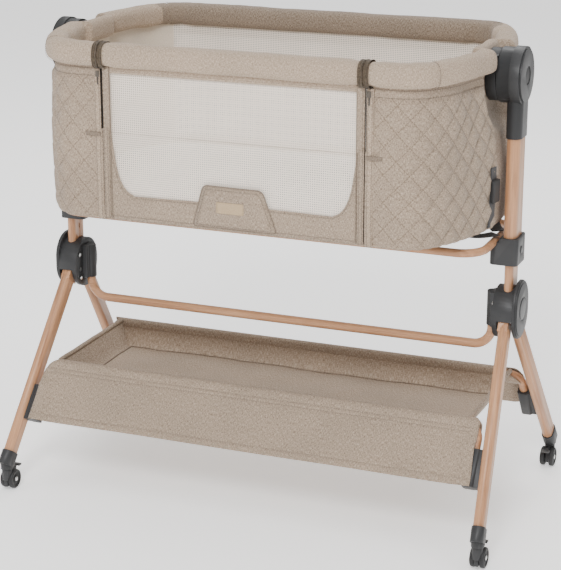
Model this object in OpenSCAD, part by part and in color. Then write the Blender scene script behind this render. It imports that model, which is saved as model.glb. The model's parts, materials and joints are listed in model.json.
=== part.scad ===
// Bedside bassinet on a folding stand with a slung shelf and four twin-wheel castors.
// Origin on the floor under the middle of the stand, +X along the bassinet's length,
// -Y towards the drop-down side, +Z up. Millimetres.

/* [Stand] */
// Half the distance between the two upright posts
post_x = 446; // [400:1:520]
// Height of the folding hubs' centre
hub_z = 403; // [360:1:460]
// Half the spread of the castor stems, front to back
foot_y = 262; // [230:1:300]
// How far the castor stems stand outside the posts, end to end
foot_out = 26; // [4:1:40]
// Height of a leg tube's lower end
foot_z = 56; // [50:1:70]
// Distance of each leg pivot from the hub's middle, front to back
pivot_y = 24; // [23:1:28]
// How far the leg pivots lie below the hub's centre
pivot_drop = 18; // [14:1:22]
// Leg tube, width in the plane it swings in
leg_w = 34; // [28:1:38]
// Leg tube, thickness end to end
leg_t = 20; // [16:1:21]
// Wall of every flat-oval tube
tube_wall = 2; // [1.2:0.1:3]

/* [Posts] */
// Inner post, width front to back
inner_w = 46; // [34:1:48]
// Inner post, thickness end to end
inner_t = 16.5; // [12:0.5:18]
// Outer post, wall thickness
outer_wall = 3.7; // [2.5:0.1:4.5]
// Clearance between inner and outer post, each side
post_gap = 0.4; // [0.2:0.1:0.8]
// How far the height collar's foot lies below the swing axis
collar_drop = 342; // [300:1:360]
// Height of the height collar
collar_h = 50; // [40:1:60]
// Height of the swing axis at the post heads
swing_z = 832; // [800:1:880]
// Radius of the post heads
head_r = 52; // [46:1:58]
// Diameter of the support ring's tube
ring_d = 15; // [12:0.5:18]
// Half the support ring's depth, front to back
ring_y = 116; // [100:1:130]

/* [Bassinet] */
// How far the ends of the fabric wall stand inside the posts' centres
end_inset = 18; // [14:1:24]
// Half the depth of the bassinet's fabric wall
wall_half_d = 248; // [220:1:290]
// Radius of the wall's corners
wall_r = 70; // [55:1:90]
// Height of the fabric wall, from the bottom hem to the padded rim
wall_h = 280; // [240:1:290]
// Thickness of the padded wall
wall_t = 6; // [4:1:10]
// How far the padded rim stands out past the wall, front and back
rim_over = 18; // [10:1:24]
// Height of the padded rim
rim_h = 46; // [36:1:56]
// Thickness of the padded rim
rim_w = 42; // [34:1:48]
// Height of the padded rim's underside above the swing axis
rim_lift = 8; // [0:1:20]
// How far the drop-down side stops short of the corners
drop_inset = 52; // [20:1:70]
// Thickness of the mattress
mattress_h = 38; // [25:1:60]

/* [Shelf] */
// Diameter of the shelf's hem tubes
hem_d = 16; // [12:1:18]
// Height of the hem tubes' centre line
hem_z = 224; // [205:1:240]
// Depth of the slung tray
tray_h = 48; // [30:1:60]
// Length of the hanging skirts, measured down the legs' slope
skirt_l = 118; // [60:1:125]

/* [Castors] */
// Castor wheel diameter
wheel_d = 38; // [32:1:44]
// Thickness of one castor wheel
wheel_t = 9; // [7:0.5:11]
// How far the axle trails behind the stem
trail = 12; // [8:1:14]
// Castor stem diameter
stem_d = 10; // [8:0.5:11]

/* [Hidden] */
$fn = 48;

// Fits and small clearances
run = 0.05;          // radial clearance of a pin that turns in its bore
soft_gap = 0.6;      // room kept between parts that only lie near each other
slip = 0.3;          // clearance round a button and under a hung cloth
head_gap = 0.8;      // clearance round the outer head disc
button_travel = 3;
eps = 1;             // how far a cut runs past the face it opens
far = 1400;          // larger than the object, for cutting planes

wood = "tan";
dark = "dimgray";
cloth = "burlywood";

// Leg geometry, worked out from the pivot and the foot
foot_x = post_x + foot_out;
pivot_z = hub_z - pivot_drop;
leg_run_y = foot_y - pivot_y;
leg_run_z = pivot_z - foot_z;
leg_run_x = foot_x - post_x;
leg_slope = atan2(leg_run_y, leg_run_z);
leg_splay = atan2(leg_run_x, norm([leg_run_y, leg_run_z]));
leg_len = norm([leg_run_x, leg_run_y, leg_run_z]);
tongue_r = 16;
tongue_t = leg_t - 2;
tongue_h = 26;
tongue_root = 6;
leg_plug = 39;       // solid length at a leg tube's upper end
pin_r = 5;
boot_grow = 4.4;
boot_up = 22;
boot_down = 6;
boot_socket_d = 24;
boot_socket_h = 16;

// Hub layers along X, outwards
hub_r = pivot_y + tongue_r + 6;
hub_top = 8;
hub_crown = -4;
hub_drop = 10;
hub_wall = 3.5;
hub_bay_top = 2;     // ceiling of the bay that the leg tongues swing in
hub_bay_low = 3;     // floor of the hub shell, above the pivots
post_seat_h = 80;
plate_x = post_x - 22;
hub_in_x = post_x - 13;
cover_x = post_x + 15;
cover_t = 9;
cover_recess = 2;
cover_step_1 = 5;
cover_step_2 = 7.5;
cover_in_1 = 1.5;
cover_in_2 = 5;
socket_w = 34;
socket_t = 21;
socket_low = 36;
socket_h = 66;
socket_ear = 4;
hub_screw_r = 2;
hub_screw_l = 7;
screw_head_r = 4;
screw_head_t = 3;
hub_screw_at = [[-30, 14], [30, 14], [-27, -34], [27, -34]];
bar_d = 17;
bar_x = plate_x - socket_t / 2;
bar_z = hub_z - 77;
bar_bend = 35;
bar_seat = 9;        // how far the crossbar's ends run above the hub's centre
post_foot = hub_z + 4;
button_r = 22;
button_t = 3.5;
button_dome = 1.5;
button_in = 2;

// Posts
collar_z = swing_z - collar_drop;
outer_t = inner_t + 2 * (outer_wall + post_gap);
outer_w = inner_w + 2 * (outer_wall + post_gap);
outer_top = swing_z - 32;
inner_top = outer_top - 110;
stop_w = 4;
stop_l = 11;
stop_z = 62;
stop_pitch = 30;
stop_count = 6;
boot_wall = 2.4;
boot_z = swing_z - 110;
head_x = post_x - 5;
head_t = 20;
head_lip = 2;
head_in = 5;
head_cap_t = 3;
head_disc_in = 2.5;
hub_disc_x = post_x - 28;
swing_pin_r = 12;
disc_x = post_x - 49;
disc_r = head_r - 5;
disc_t = hub_disc_x - disc_x - 1;
ring_x = post_x - 29;
ring_z = collar_z + 40;
ring_bend = 45;
collar_seat = 3;     // floor of the collar below the outer post's end
collar_r = 9;
collar_in = ring_x - ring_d / 2 + 2;
collar_out = post_x + outer_t / 2 + 5;
collar_w = outer_w + 7;
height_button_r = 7;
height_button_z = collar_z + 25;
height_button_t = 6;
height_button_lift = 0.2;
head_button_r = 16;
head_button_t = 5;
head_button_y = 4;
head_recess = 9;

// Bassinet plan
wall_half_l = post_x - end_inset;
corner_reach = 128;  // from the start of a corner to the middle of the end
corner_x = wall_half_l - corner_reach;
drop_half = corner_x - drop_inset;
rim_z = swing_z + rim_lift;
wall_z = rim_z - wall_h;
rim_half_l = wall_half_l + 4;
rim_half_d = wall_half_d + rim_over;
rim_r = 85;
rim_split = 1;       // gap between the rim's fixed and dropping lengths
front_reach = 70;    // how far the drop-down strip reaches into the corners' depth
strip_over = 30;
floor_t = 6;
floor_gap = 1;
mattress_gap = 6;
hinge_z = wall_z + 6;
frame_bar = 16;
strap_t = 2;
strap_w = 24;
strap_low = 8;
strap_h = 190;
strap_y = 62;
buckle_z = 75;
buckle_t = 6;
buckle_h = 42;
buckle_w = 28;
buckle_r = 4;
window_side = 16;    // cloth left beside the window
window_sill = 46;    // cloth left under the window
window_r = 62;
window_taper = 4;
mesh_t = 2;
zip_x = 4;
zip_low = 16;
zip_body = [7, 4.5, 11];
zip_pull = [3, 1.6, 15];

// Shelf, in the plane of the legs
hem_s = (pivot_z - hem_z) / cos(leg_slope);
hem_y = pivot_y + (pivot_z - hem_z) * tan(leg_slope);
hem_half = post_x - 9;
hem_bend = 30;
bracket_s = hem_s + 48;
bracket_l = 70;
bracket_w = 26;
bracket_wall = 6;
bracket_r = 5;
bracket_web = 24;
bracket_lip = 3;
bracket_seat = 40;
bracket_screw_at = [10, 58];
bracket_screw_r = 1.6;
bracket_screw_l = 2.5;
bracket_head_t = 2;
skirt_t = 3;
skirt_in = 12;
tray_wall = 4;
tray_lip = 4;
tray_r = 12;
tray_half_y = hem_y - hem_d / 2 - 2;
tray_half_x = post_x - 34;

// Castors
axle_r = 2.5;
web_t = 8;
web_front = 7;
web_low = 8;
web_back = 15;
stem_top = foot_z - 4;
fork_top = foot_z - 13;
wheel_z = wheel_d / 2;
wheel_gap = 0.5;
wheel_room = 1.6;
wheel_rim = 9;
wheel_dish = 2;
hood_d = 20;
hood_z = wheel_d * 0.55;
lever_y = trail + 13;
lever_z = wheel_d - 1;
lever_pin_r = 1.2;
lever_w = 4.4;
lever_t = 3.4;
lever_low = 0.4;
pedal_w = 16;
pedal_y = 8;
pedal_l = 9;
lever_slot = 5;

module both_ends() {
    children();
    mirror([1, 0, 0]) children();
}

module end(s) {
    if (s > 0) children();
    else mirror([1, 0, 0]) children();
}

module stadium(t, w) {
    square([t, w - t], center = true);
    for (k = [-1, 1]) translate([0, k * (w - t) / 2]) circle(d = t);
}

module rounded_rect(w, h, r) {
    square([w - 2 * r, h], center = true);
    square([w, h - 2 * r], center = true);
    for (i = [-1, 1], j = [-1, 1])
        translate([i * (w / 2 - r), j * (h / 2 - r)]) circle(r);
}

// Cylinder along +X from x = 0
module x_rod(r, l) {
    rotate([0, 90, 0]) cylinder(r = r, h = l);
}

// Quarter of a plan outline: a wide end arc that runs into a tighter corner arc
function end_centre(hl, hd, r) =
    let (q = hl - r, cy = hd - r)
    (q * q - corner_x * corner_x - cy * cy) / (2 * (q - corner_x));

function quarter(hl, hd, r, inset) =
    let (c = end_centre(hl, hd, r), cy = hd - r, a = atan2(cy, corner_x - c))
    concat(
        [for (i = [0:6]) let (t = a * i / 7)
            [c + (hl - c - inset) * cos(t), (hl - c - inset) * sin(t)]],
        [for (i = [0:8]) let (t = a + (90 - a) * i / 8)
            [corner_x + (r - inset) * cos(t), cy + (r - inset) * sin(t)]]
    );

function back_to_front(p) = [for (i = [len(p) - 1:-1:0]) p[i]];

function plan(hl, hd, r, inset = 0) =
    let (q = quarter(hl, hd, r, inset),
         q2 = [for (p = back_to_front(q)) [-p[0], p[1]]],
         q3 = [for (i = [1:len(q) - 1]) [-q[i][0], -q[i][1]]],
         q4 = [for (i = [len(q) - 1:-1:1]) [q[i][0], -q[i][1]]])
    concat(q, [for (i = [0:len(q2) - 1]) q2[i]], q3, q4);

module wall_plan(inset = 0) {
    polygon(plan(wall_half_l, wall_half_d, wall_r, inset));
}

module rim_plan(inset = 0) {
    polygon(plan(rim_half_l, rim_half_d, rim_r, inset));
}

// Front strip of the plan that belongs to the drop-down side
module drop_strip(gap = 0) {
    translate([-drop_half - gap, -rim_half_d - strip_over])
        square([2 * (drop_half + gap), strip_over + rim_half_d - wall_half_d + front_reach]);
}

// ---- Hubs ----

// Hub outline in the Y-Z plane, stood up and thickened along X
module hub_slab(x0, x1, r, top, drop) {
    translate([x0, 0, hub_z]) rotate([90, 0, 90]) linear_extrude(x1 - x0) {
        translate([0, top]) circle(r);
        translate([0, -drop]) circle(r);
        translate([-r, -drop]) square([2 * r, top + drop]);
    }
}

module hub_housing() {
    color(dark) difference() {
        union() {
            hub_slab(plate_x, hub_in_x, hub_r, hub_crown, hub_drop);
            hub_slab(hub_in_x, cover_x, hub_r, hub_crown, hub_drop);
        }
        // room for the leg tongues to swing
        difference() {
            hub_slab(hub_in_x, cover_x + eps, hub_r - hub_wall, hub_crown, hub_drop);
            translate([hub_in_x - eps, -hub_r - eps, hub_z + hub_bay_top])
                cube([cover_x - hub_in_x + 3 * eps, 2 * (hub_r + eps), hub_r]);
        }
        translate([hub_in_x, -hub_r - eps, hub_z - post_seat_h])
            cube([cover_x - hub_in_x + eps, 2 * (hub_r + eps), post_seat_h - pivot_drop + hub_bay_low]);
        // seat of the inner post
        translate([post_x, 0, post_foot]) linear_extrude(post_seat_h) stadium(inner_t, inner_w);
        for (k = [-1, 1])
            translate([plate_x - eps, k * pivot_y, pivot_z]) x_rod(pin_r, cover_x - plate_x + 2 * eps);
        hub_screw_shanks();
    }
}

module hub_cover() {
    color(dark) difference() {
        union() {
            hub_slab(cover_x, cover_x + cover_step_1, hub_r, hub_top, hub_drop);
            hub_slab(cover_x + cover_step_1, cover_x + cover_step_2, hub_r - cover_in_1, hub_top, hub_drop);
            hub_slab(cover_x + cover_step_2, cover_x + cover_t, hub_r - cover_in_2, hub_top, hub_drop);
        }
        translate([cover_x + cover_recess, 0, hub_z]) x_rod(button_r + slip, cover_t);
    }
}

module fold_button() {
    color(dark) translate([cover_x + cover_recess + button_travel, 0, hub_z]) {
        x_rod(button_r, button_t);
        translate([button_t, 0, 0]) x_rod(button_r - button_in, button_dome);
    }
}

module crossbar_socket() {
    color(dark) difference() {
        translate([bar_x, 0, hub_z - socket_low]) linear_extrude(socket_h) {
            circle(d = socket_t);
            translate([0, -socket_w / 2]) square([socket_t / 2, socket_w]);
            translate([-socket_ear / 2, socket_ear - socket_w / 2])
                square([socket_t / 2, socket_w - 2 * socket_ear]);
        }
        translate([bar_x, 0, hub_z - socket_low - eps])
            cylinder(d = bar_d, h = socket_low + eps + bar_seat);
        hub_screw_shanks();
    }
}

// Screws that hold the hub's halves together, driven from the inner side
module hub_screw_places() {
    for (p = hub_screw_at)
        translate([plate_x, p[0], hub_z + p[1]]) children();
}

module hub_screw_shanks() {
    hub_screw_places() translate([-eps, 0, 0]) x_rod(hub_screw_r, hub_screw_l);
}

module hub_screws() {
    color("silver") both_ends() hub_screw_places() {
        translate([-eps, 0, 0]) x_rod(hub_screw_r, hub_screw_l);
        translate([-screw_head_t, 0, 0]) x_rod(screw_head_r, screw_head_t);
    }
}

module leg_pivot_pins() {
    color("silver") both_ends() for (k = [-1, 1])
        translate([plate_x + eps, k * pivot_y, pivot_z]) x_rod(pin_r, cover_x - plate_x - eps);
}

// Round tube bent from a vertical end into a run along X, for +X
module lower_crossbar() {
    color(wood) {
        both_ends() {
            translate([bar_x, 0, bar_z + bar_bend])
                cylinder(d = bar_d, h = hub_z + bar_seat - bar_z - bar_bend);
            translate([bar_x - bar_bend, 0, bar_z + bar_bend]) rotate([90, 0, 0])
                rotate([0, 0, -90]) rotate_extrude(angle = 90) translate([bar_bend, 0]) circle(d = bar_d);
        }
        translate([-(bar_x - bar_bend), 0, bar_z]) x_rod(bar_d / 2, 2 * (bar_x - bar_bend));
    }
}

module inner_post() {
    color(wood) translate([post_x, 0, post_foot]) difference() {
        linear_extrude(inner_top - post_foot) stadium(inner_t, inner_w);
        translate([0, 0, -eps]) linear_extrude(inner_top - post_foot + 2 * eps)
            stadium(inner_t - 2 * tube_wall, inner_w - 2 * tube_wall);
        // height stops, in the inward face
        for (i = [0:stop_count - 1]) translate([-inner_t, 0, stop_z + stop_pitch * i])
            rotate([90, 0, 90]) linear_extrude(inner_t) stadium(stop_w, stop_l);
    }
}

// ---- Legs: side -1 is the front pair, +1 the rear pair ----

// Puts children in a leg's own frame: origin at its pivot, -Z down the leg, before splay
module leg_plane(fb) {
    translate([0, fb * pivot_y, pivot_z]) rotate([fb * leg_slope, 0, 0]) children();
}

module leg_axis(fb) {
    leg_plane(fb) translate([post_x, 0, 0]) rotate([0, -leg_splay, 0]) children();
}

module leg_outer(fb, grow = 0) {
    leg_axis(fb) translate([0, 0, -leg_len]) linear_extrude(leg_len - tongue_h + tongue_root)
        stadium(leg_t + grow, leg_w + grow);
}

module leg(fb) {
    color(wood) difference() {
        union() {
            difference() {
                leg_outer(fb);
                leg_axis(fb) translate([0, 0, -leg_len - eps]) linear_extrude(leg_len - leg_plug)
                    stadium(leg_t - 2 * tube_wall, leg_w - 2 * tube_wall);
            }
            leg_plane(fb) translate([post_x - tongue_t / 2, 0, 0]) {
                x_rod(tongue_r, tongue_t);
                translate([0, -tongue_r, -tongue_h]) cube([tongue_t, 2 * tongue_r, tongue_h]);
            }
        }
        translate([post_x - leg_t, fb * pivot_y, pivot_z]) x_rod(pin_r + run, 2 * leg_t);
    }
}

module leg_boot(fb) {
    color(dark) difference() {
        union() {
            leg_axis(fb) translate([0, 0, -leg_len - boot_down]) linear_extrude(boot_down + boot_up)
                stadium(leg_t + boot_grow, leg_w + boot_grow);
            translate([foot_x, fb * foot_y, fork_top + eps]) cylinder(d = boot_socket_d, h = boot_socket_h);
        }
        leg_axis(fb) translate([0, 0, -leg_len]) linear_extrude(2 * boot_up) stadium(leg_t, leg_w);
        translate([foot_x, fb * foot_y, 0]) cylinder(d = stem_d + 2 * run, h = stem_top + eps);
        translate([0, 0, -foot_z]) linear_extrude(foot_z + fork_top + eps) square(far, center = true);
    }
}

// Hem tube: along the shelf's edge, turned down at both ends into the brackets
module hem_tube(fb) {
    drop = bracket_s + bracket_seat - hem_s - hem_bend;
    color(wood) leg_plane(fb) translate([0, 0, -hem_s]) {
        both_ends() {
            translate([hem_half, 0, -hem_bend - drop]) cylinder(d = hem_d, h = drop);
            translate([hem_half - hem_bend, 0, -hem_bend]) rotate([90, 0, 0])
                rotate_extrude(angle = 90) translate([hem_bend, 0]) circle(d = hem_d);
        }
        translate([-(hem_half - hem_bend), 0, 0]) x_rod(hem_d / 2, 2 * (hem_half - hem_bend));
    }
}

module bracket(fb) {
    color(dark) difference() {
        leg_plane(fb) translate([hem_half, 0, -bracket_s - bracket_l]) linear_extrude(bracket_l) {
            rounded_rect(hem_d + bracket_wall, bracket_w, bracket_r);
            translate([0, bracket_lip - bracket_w / 2]) square([bracket_web, bracket_w - 2 * bracket_lip]);
        }
        leg_plane(fb) translate([hem_half, 0, -bracket_s - bracket_seat])
            cylinder(d = hem_d, h = bracket_seat + eps);
        leg_outer(fb);
        bracket_screw_shanks(fb);
    }
}

module bracket_screw_places(fb) {
    leg_plane(fb) for (s = bracket_screw_at)
        translate([hem_half - (hem_d + bracket_wall) / 2, 0, -bracket_s - s]) children();
}

module bracket_screw_shanks(fb) {
    bracket_screw_places(fb) translate([-eps, 0, 0]) x_rod(bracket_screw_r, bracket_screw_l + eps);
}

module bracket_screws(fb) {
    color("silver") both_ends() bracket_screw_places(fb) {
        x_rod(bracket_screw_r, bracket_screw_l);
        translate([-bracket_head_t, 0, 0]) x_rod(screw_head_r, bracket_head_t);
    }
}

module skirt(fb) {
    half = hem_half - skirt_in;
    color(cloth) leg_plane(fb)
        translate([-half, fb * (hem_d / 2 + slip + skirt_t / 2) - skirt_t / 2, -hem_s - skirt_l])
            cube([2 * half, skirt_t, skirt_l + hem_d / 2]);
}

module shelf_tray() {
    top = hem_z + tray_lip;
    color(cloth) difference() {
        translate([0, 0, top - tray_h]) linear_extrude(tray_h)
            rounded_rect(2 * tray_half_x, 2 * tray_half_y, tray_r);
        translate([0, 0, top - tray_h + tray_wall]) linear_extrude(tray_h)
            rounded_rect(2 * (tray_half_x - tray_wall), 2 * (tray_half_y - tray_wall), tray_r - tray_wall);
    }
}

// ---- Castors: e is the end (+1 right), fb the front (-1) or rear (+1) ----

module castor_place(e, fb) {
    translate([e * foot_x, fb * foot_y, 0]) rotate([0, 0, fb < 0 ? 0 : 180]) children();
}

// Stem up the middle, a web between the wheels and a hood over them; it trails to +Y
module castor_fork() {
    color(dark) difference() {
        union() {
            cylinder(d = stem_d, h = stem_top);
            translate([0, 0, hood_z]) cylinder(d = hood_d, h = fork_top - hood_z);
            translate([-web_t / 2, -web_front, web_low]) cube([web_t, trail + web_back, wheel_d - web_low]);
            translate([-web_t / 2, trail, wheel_z]) x_rod(web_t, web_t);
            // lugs for the brake lever
            translate([-web_t / 2, lever_y - lever_slot, lever_z - lever_slot]) cube([web_t, 9, 8]);
        }
        translate([-hood_d, trail, wheel_z]) x_rod(axle_r + run, 2 * hood_d);
        translate([0, 0, -eps]) cylinder(d = hood_d, h = web_low + eps);
        translate([-lever_slot / 2, lever_y - lever_slot + 0.5, lever_z - lever_slot + eps])
            cube([lever_slot, hood_d, hood_d]);
        for (k = [-1, 1]) translate([k * wheel_middle(), trail, wheel_z])
            rotate([0, 90, 0]) cylinder(d = wheel_d + wheel_room, h = wheel_t + 2 * wheel_gap, center = true);
    }
    color(dark) translate([-lever_slot / 2, lever_y, lever_z]) x_rod(lever_pin_r, lever_slot);
}

function wheel_middle() = web_t / 2 + wheel_gap + wheel_t / 2;

module castor_wheels() {
    color(dark) translate([0, trail, wheel_z]) {
        for (k = [-1, 1]) translate([k * wheel_middle(), 0, 0]) rotate([0, 90, 0]) difference() {
            cylinder(d = wheel_d, h = wheel_t, center = true);
            translate([0, 0, k * wheel_t / 2]) difference() {
                cylinder(d = wheel_d - wheel_rim, h = 2 * wheel_dish, center = true);
                cylinder(d = wheel_rim, h = 3 * wheel_dish, center = true);
            }
        }
        translate([-web_t / 2 - wheel_t, 0, 0]) x_rod(axle_r, web_t + 2 * wheel_t);
    }
}

module castor_brake() {
    color("gray") difference() {
        translate([0, lever_y, lever_z]) union() {
            translate([-lever_w / 2, 0, 0]) x_rod(2.5 * lever_pin_r, lever_w);
            translate([-lever_w / 2, 0, -lever_low]) cube([lever_w, pedal_l, lever_t]);
            translate([-pedal_w / 2, pedal_y, -lever_low]) cube([pedal_w, pedal_l, lever_t]);
        }
        translate([-pedal_w, lever_y, lever_z]) x_rod(lever_pin_r + run, 2 * pedal_w);
    }
}

// ---- Upper frame ----

module outer_post() {
    foot = collar_z + collar_seat;
    color(wood) translate([post_x, 0, foot]) difference() {
        linear_extrude(outer_top - foot) stadium(outer_t, outer_w);
        translate([0, 0, -eps]) linear_extrude(outer_top - foot + 2 * eps)
            stadium(inner_t + 2 * post_gap, inner_w + 2 * post_gap);
        translate([0, 0, height_button_z - foot]) x_rod(height_button_r + slip, outer_t);
    }
}

module height_collar() {
    len_x = collar_out - collar_in;
    color(dark) difference() {
        translate([collar_in + len_x / 2, 0, collar_z]) linear_extrude(collar_h)
            rounded_rect(len_x, collar_w, collar_r);
        translate([post_x, 0, collar_z + collar_seat]) linear_extrude(collar_h) stadium(outer_t, outer_w);
        translate([post_x, 0, collar_z - eps]) linear_extrude(collar_h)
            stadium(inner_t + 2 * post_gap, inner_w + 2 * post_gap);
        translate([ring_x, 0, ring_z]) rotate([90, 0, 0])
            cylinder(d = ring_d, h = 2 * collar_w, center = true);
        translate([collar_in - eps, -collar_w, ring_z + 2 * eps])
            cube([ring_d + 4 * eps, 2 * collar_w, collar_h]);
        translate([post_x, 0, height_button_z]) x_rod(height_button_r + slip, 2 * outer_t);
    }
}

module height_button() {
    color("gray") translate([post_x + outer_t / 2 + height_button_lift, 0, height_button_z])
        x_rod(height_button_r, height_button_t);
}

module support_ring() {
    run_x = ring_x - ring_bend;
    run_y = ring_y - ring_bend;
    color(wood) translate([0, 0, ring_z]) {
        for (k = [-1, 1]) {
            translate([-run_x, k * ring_y, 0]) x_rod(ring_d / 2, 2 * run_x);
            translate([k * ring_x, 0, 0]) rotate([90, 0, 0])
                cylinder(d = ring_d, h = 2 * run_y, center = true);
        }
        for (i = [-1, 1], j = [-1, 1])
            translate([i * run_x, j * run_y, 0])
                rotate([0, 0, i > 0 ? (j > 0 ? 0 : -90) : (j > 0 ? 90 : 180)])
                    rotate_extrude(angle = 90) translate([ring_bend, 0]) circle(d = ring_d);
    }
}

module post_head() {
    color(dark) difference() {
        union() {
            translate([head_x, 0, swing_z]) x_rod(head_r, head_t - head_lip);
            translate([head_x + head_t - head_lip, 0, swing_z]) x_rod(head_r - head_in, head_cap_t);
            translate([hub_disc_x, 0, swing_z]) x_rod(head_r - head_disc_in, head_x - hub_disc_x);
            translate([post_x, 0, boot_z]) linear_extrude(swing_z - boot_z)
                stadium(outer_t + 2 * boot_wall, outer_w + 2 * boot_wall);
            // swing pin
            translate([disc_x + 3 * eps, 0, swing_z]) x_rod(swing_pin_r, hub_disc_x - disc_x);
        }
        translate([post_x, 0, boot_z - eps]) linear_extrude(outer_top - boot_z + eps)
            stadium(outer_t, outer_w);
        translate([head_x + head_t - head_recess, head_button_y, swing_z])
            x_rod(head_button_r + slip, head_t);
    }
}

module head_button() {
    color("dimgray") translate([head_x + head_t - head_button_t, head_button_y, swing_z])
        x_rod(head_button_r, head_button_t);
}

// ---- Bassinet ----

module pivot_disc() {
    color(dark) difference() {
        translate([disc_x, 0, swing_z]) x_rod(disc_r, disc_t);
        translate([disc_x - eps, 0, swing_z]) x_rod(swing_pin_r + run, disc_t + 2 * eps);
    }
}

// Room for the swing hub at each end of the rim and wall
module hub_notches() {
    both_ends() {
        translate([disc_x, 0, swing_z]) x_rod(disc_r, rim_w);
        translate([disc_x + disc_t, 0, swing_z]) x_rod(head_r + head_gap, rim_w);
    }
}

module frame_band(gap = 0) {
    translate([0, 0, rim_z + (rim_h - frame_bar) / 2 - gap]) linear_extrude(frame_bar + 2 * gap)
        difference() {
            rim_plan((rim_w - frame_bar) / 2 - gap);
            rim_plan((rim_w + frame_bar) / 2 + gap);
        }
}

module rim_pad() {
    color(cloth) difference() {
        translate([0, 0, rim_z]) linear_extrude(rim_h) difference() {
            rim_plan();
            rim_plan(rim_w);
            drop_strip(rim_split);
        }
        frame_band();
        hub_notches();
    }
}

module rim_frame() {
    color("silver") difference() {
        frame_band();
        hub_notches();
        translate([0, 0, rim_z - 1]) linear_extrude(rim_h + 2) drop_strip(rim_split);
    }
}

module bassinet_wall() {
    color(cloth) difference() {
        translate([0, 0, wall_z]) linear_extrude(rim_z - wall_z) difference() {
            wall_plan();
            wall_plan(wall_t);
        }
        translate([0, 0, hinge_z - soft_gap]) linear_extrude(rim_z) drop_strip(rim_split);
        hub_notches();
    }
}

module floor_board() {
    color("gray") translate([0, 0, wall_z + floor_gap]) linear_extrude(floor_t)
        wall_plan(wall_t + floor_gap);
}

module mattress() {
    color("ivory") translate([0, 0, wall_z + floor_gap + floor_t]) linear_extrude(mattress_h)
        wall_plan(wall_t + mattress_gap);
}

module end_straps() {
    color("black") both_ends() intersection() {
        translate([0, 0, wall_z + strap_low]) linear_extrude(strap_h) difference() {
            wall_plan(-strap_t);
            wall_plan();
        }
        for (k = [-1, 1]) translate([0, k * strap_y - strap_w / 2, 0]) cube([far, strap_w, far]);
    }
}

// Each buckle lies square to the end arc, on its strap
module strap_buckles() {
    c = end_centre(wall_half_l, wall_half_d, wall_r);
    end_r = wall_half_l - c;
    color("black") both_ends() for (k = [-1, 1])
        translate([c, 0, wall_z + buckle_z]) rotate([0, 0, k * asin(strap_y / end_r)])
            translate([end_r + strap_t, 0, 0]) rotate([0, 90, 0])
                linear_extrude(buckle_t) rounded_rect(buckle_h, buckle_w, buckle_r);
}

module drop_rim() {
    color(cloth) translate([0, 0, rim_z]) linear_extrude(rim_h) intersection() {
        difference() {
            rim_plan();
            rim_plan(rim_w);
        }
        drop_strip();
    }
}

// Window outline in the panel, wider at the top
module window() {
    hw = drop_half - window_side;
    z0 = hinge_z + window_sill;
    z1 = z0 + window_r + window_taper;
    translate([0, -wall_half_d - wall_t, 0]) rotate([90, 0, 0]) mirror([0, 0, 1]) linear_extrude(3 * wall_t) {
        translate([window_r - hw, z0]) square([2 * (hw - window_r), rim_z - z0]);
        translate([-hw, z1]) square([2 * hw, rim_z - z1]);
        for (k = [-1, 1]) translate([k * (hw - window_r), z1]) circle(window_r);
    }
}

module drop_panel() {
    color(cloth) difference() {
        translate([-drop_half, -wall_half_d, hinge_z]) cube([2 * drop_half, wall_t, rim_z - hinge_z]);
        window();
    }
}

module mesh_window() {
    color("ivory") intersection() {
        translate([-drop_half, -wall_half_d + (wall_t - mesh_t) / 2, hinge_z])
            cube([2 * drop_half, mesh_t, rim_z - hinge_z]);
        window();
    }
}

module zip_slider() {
    color("brown") translate([drop_half + zip_x, -wall_half_d - 0.5 - zip_body[1], rim_z - zip_low]) {
        cube(zip_body);
        translate([(zip_body[0] - zip_pull[0]) / 2, eps, eps - zip_pull[2]]) cube(zip_pull);
    }
}

end(-1) hub_housing();  // hub_housing_left
end(1) hub_housing();  // hub_housing_right
both_ends() hub_cover();  // hub_covers
both_ends() crossbar_socket();  // crossbar_sockets
hub_screws();
lower_crossbar();
end(-1) inner_post();  // inner_post_left
end(1) inner_post();  // inner_post_right
leg_pivot_pins();
shelf_tray();
end(-1) fold_button();  // fold_button_left
end(1) fold_button();  // fold_button_right
end(-1) leg(-1);  // front_leg_left
end(1) leg(-1);  // front_leg_right
both_ends() leg_boot(-1);  // front_leg_boots
hem_tube(-1);  // front_hem_tube
both_ends() bracket(-1);  // front_brackets
bracket_screws(-1);  // front_bracket_screws
skirt(-1);  // front_skirt
end(-1) leg(1);  // rear_leg_left
end(1) leg(1);  // rear_leg_right
both_ends() leg_boot(1);  // rear_leg_boots
hem_tube(1);  // rear_hem_tube
both_ends() bracket(1);  // rear_brackets
bracket_screws(1);  // rear_bracket_screws
skirt(1);  // rear_skirt
castor_place(-1, -1) castor_fork();  // castor_fork_front_left
castor_place(-1, -1) castor_wheels();  // castor_wheels_front_left
castor_place(-1, -1) castor_brake();  // castor_brake_front_left
castor_place(1, -1) castor_fork();  // castor_fork_front_right
castor_place(1, -1) castor_wheels();  // castor_wheels_front_right
castor_place(1, -1) castor_brake();  // castor_brake_front_right
castor_place(-1, 1) castor_fork();  // castor_fork_rear_left
castor_place(-1, 1) castor_wheels();  // castor_wheels_rear_left
castor_place(-1, 1) castor_brake();  // castor_brake_rear_left
castor_place(1, 1) castor_fork();  // castor_fork_rear_right
castor_place(1, 1) castor_wheels();  // castor_wheels_rear_right
castor_place(1, 1) castor_brake();  // castor_brake_rear_right
end(-1) outer_post();  // outer_post_left
end(1) outer_post();  // outer_post_right
both_ends() height_collar();  // height_collars
both_ends() post_head();  // post_heads
support_ring();
end(-1) height_button();  // height_button_left
end(1) height_button();  // height_button_right
end(-1) head_button();  // head_button_left
end(1) head_button();  // head_button_right
both_ends() pivot_disc();  // pivot_discs
rim_pad();
rim_frame();
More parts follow.
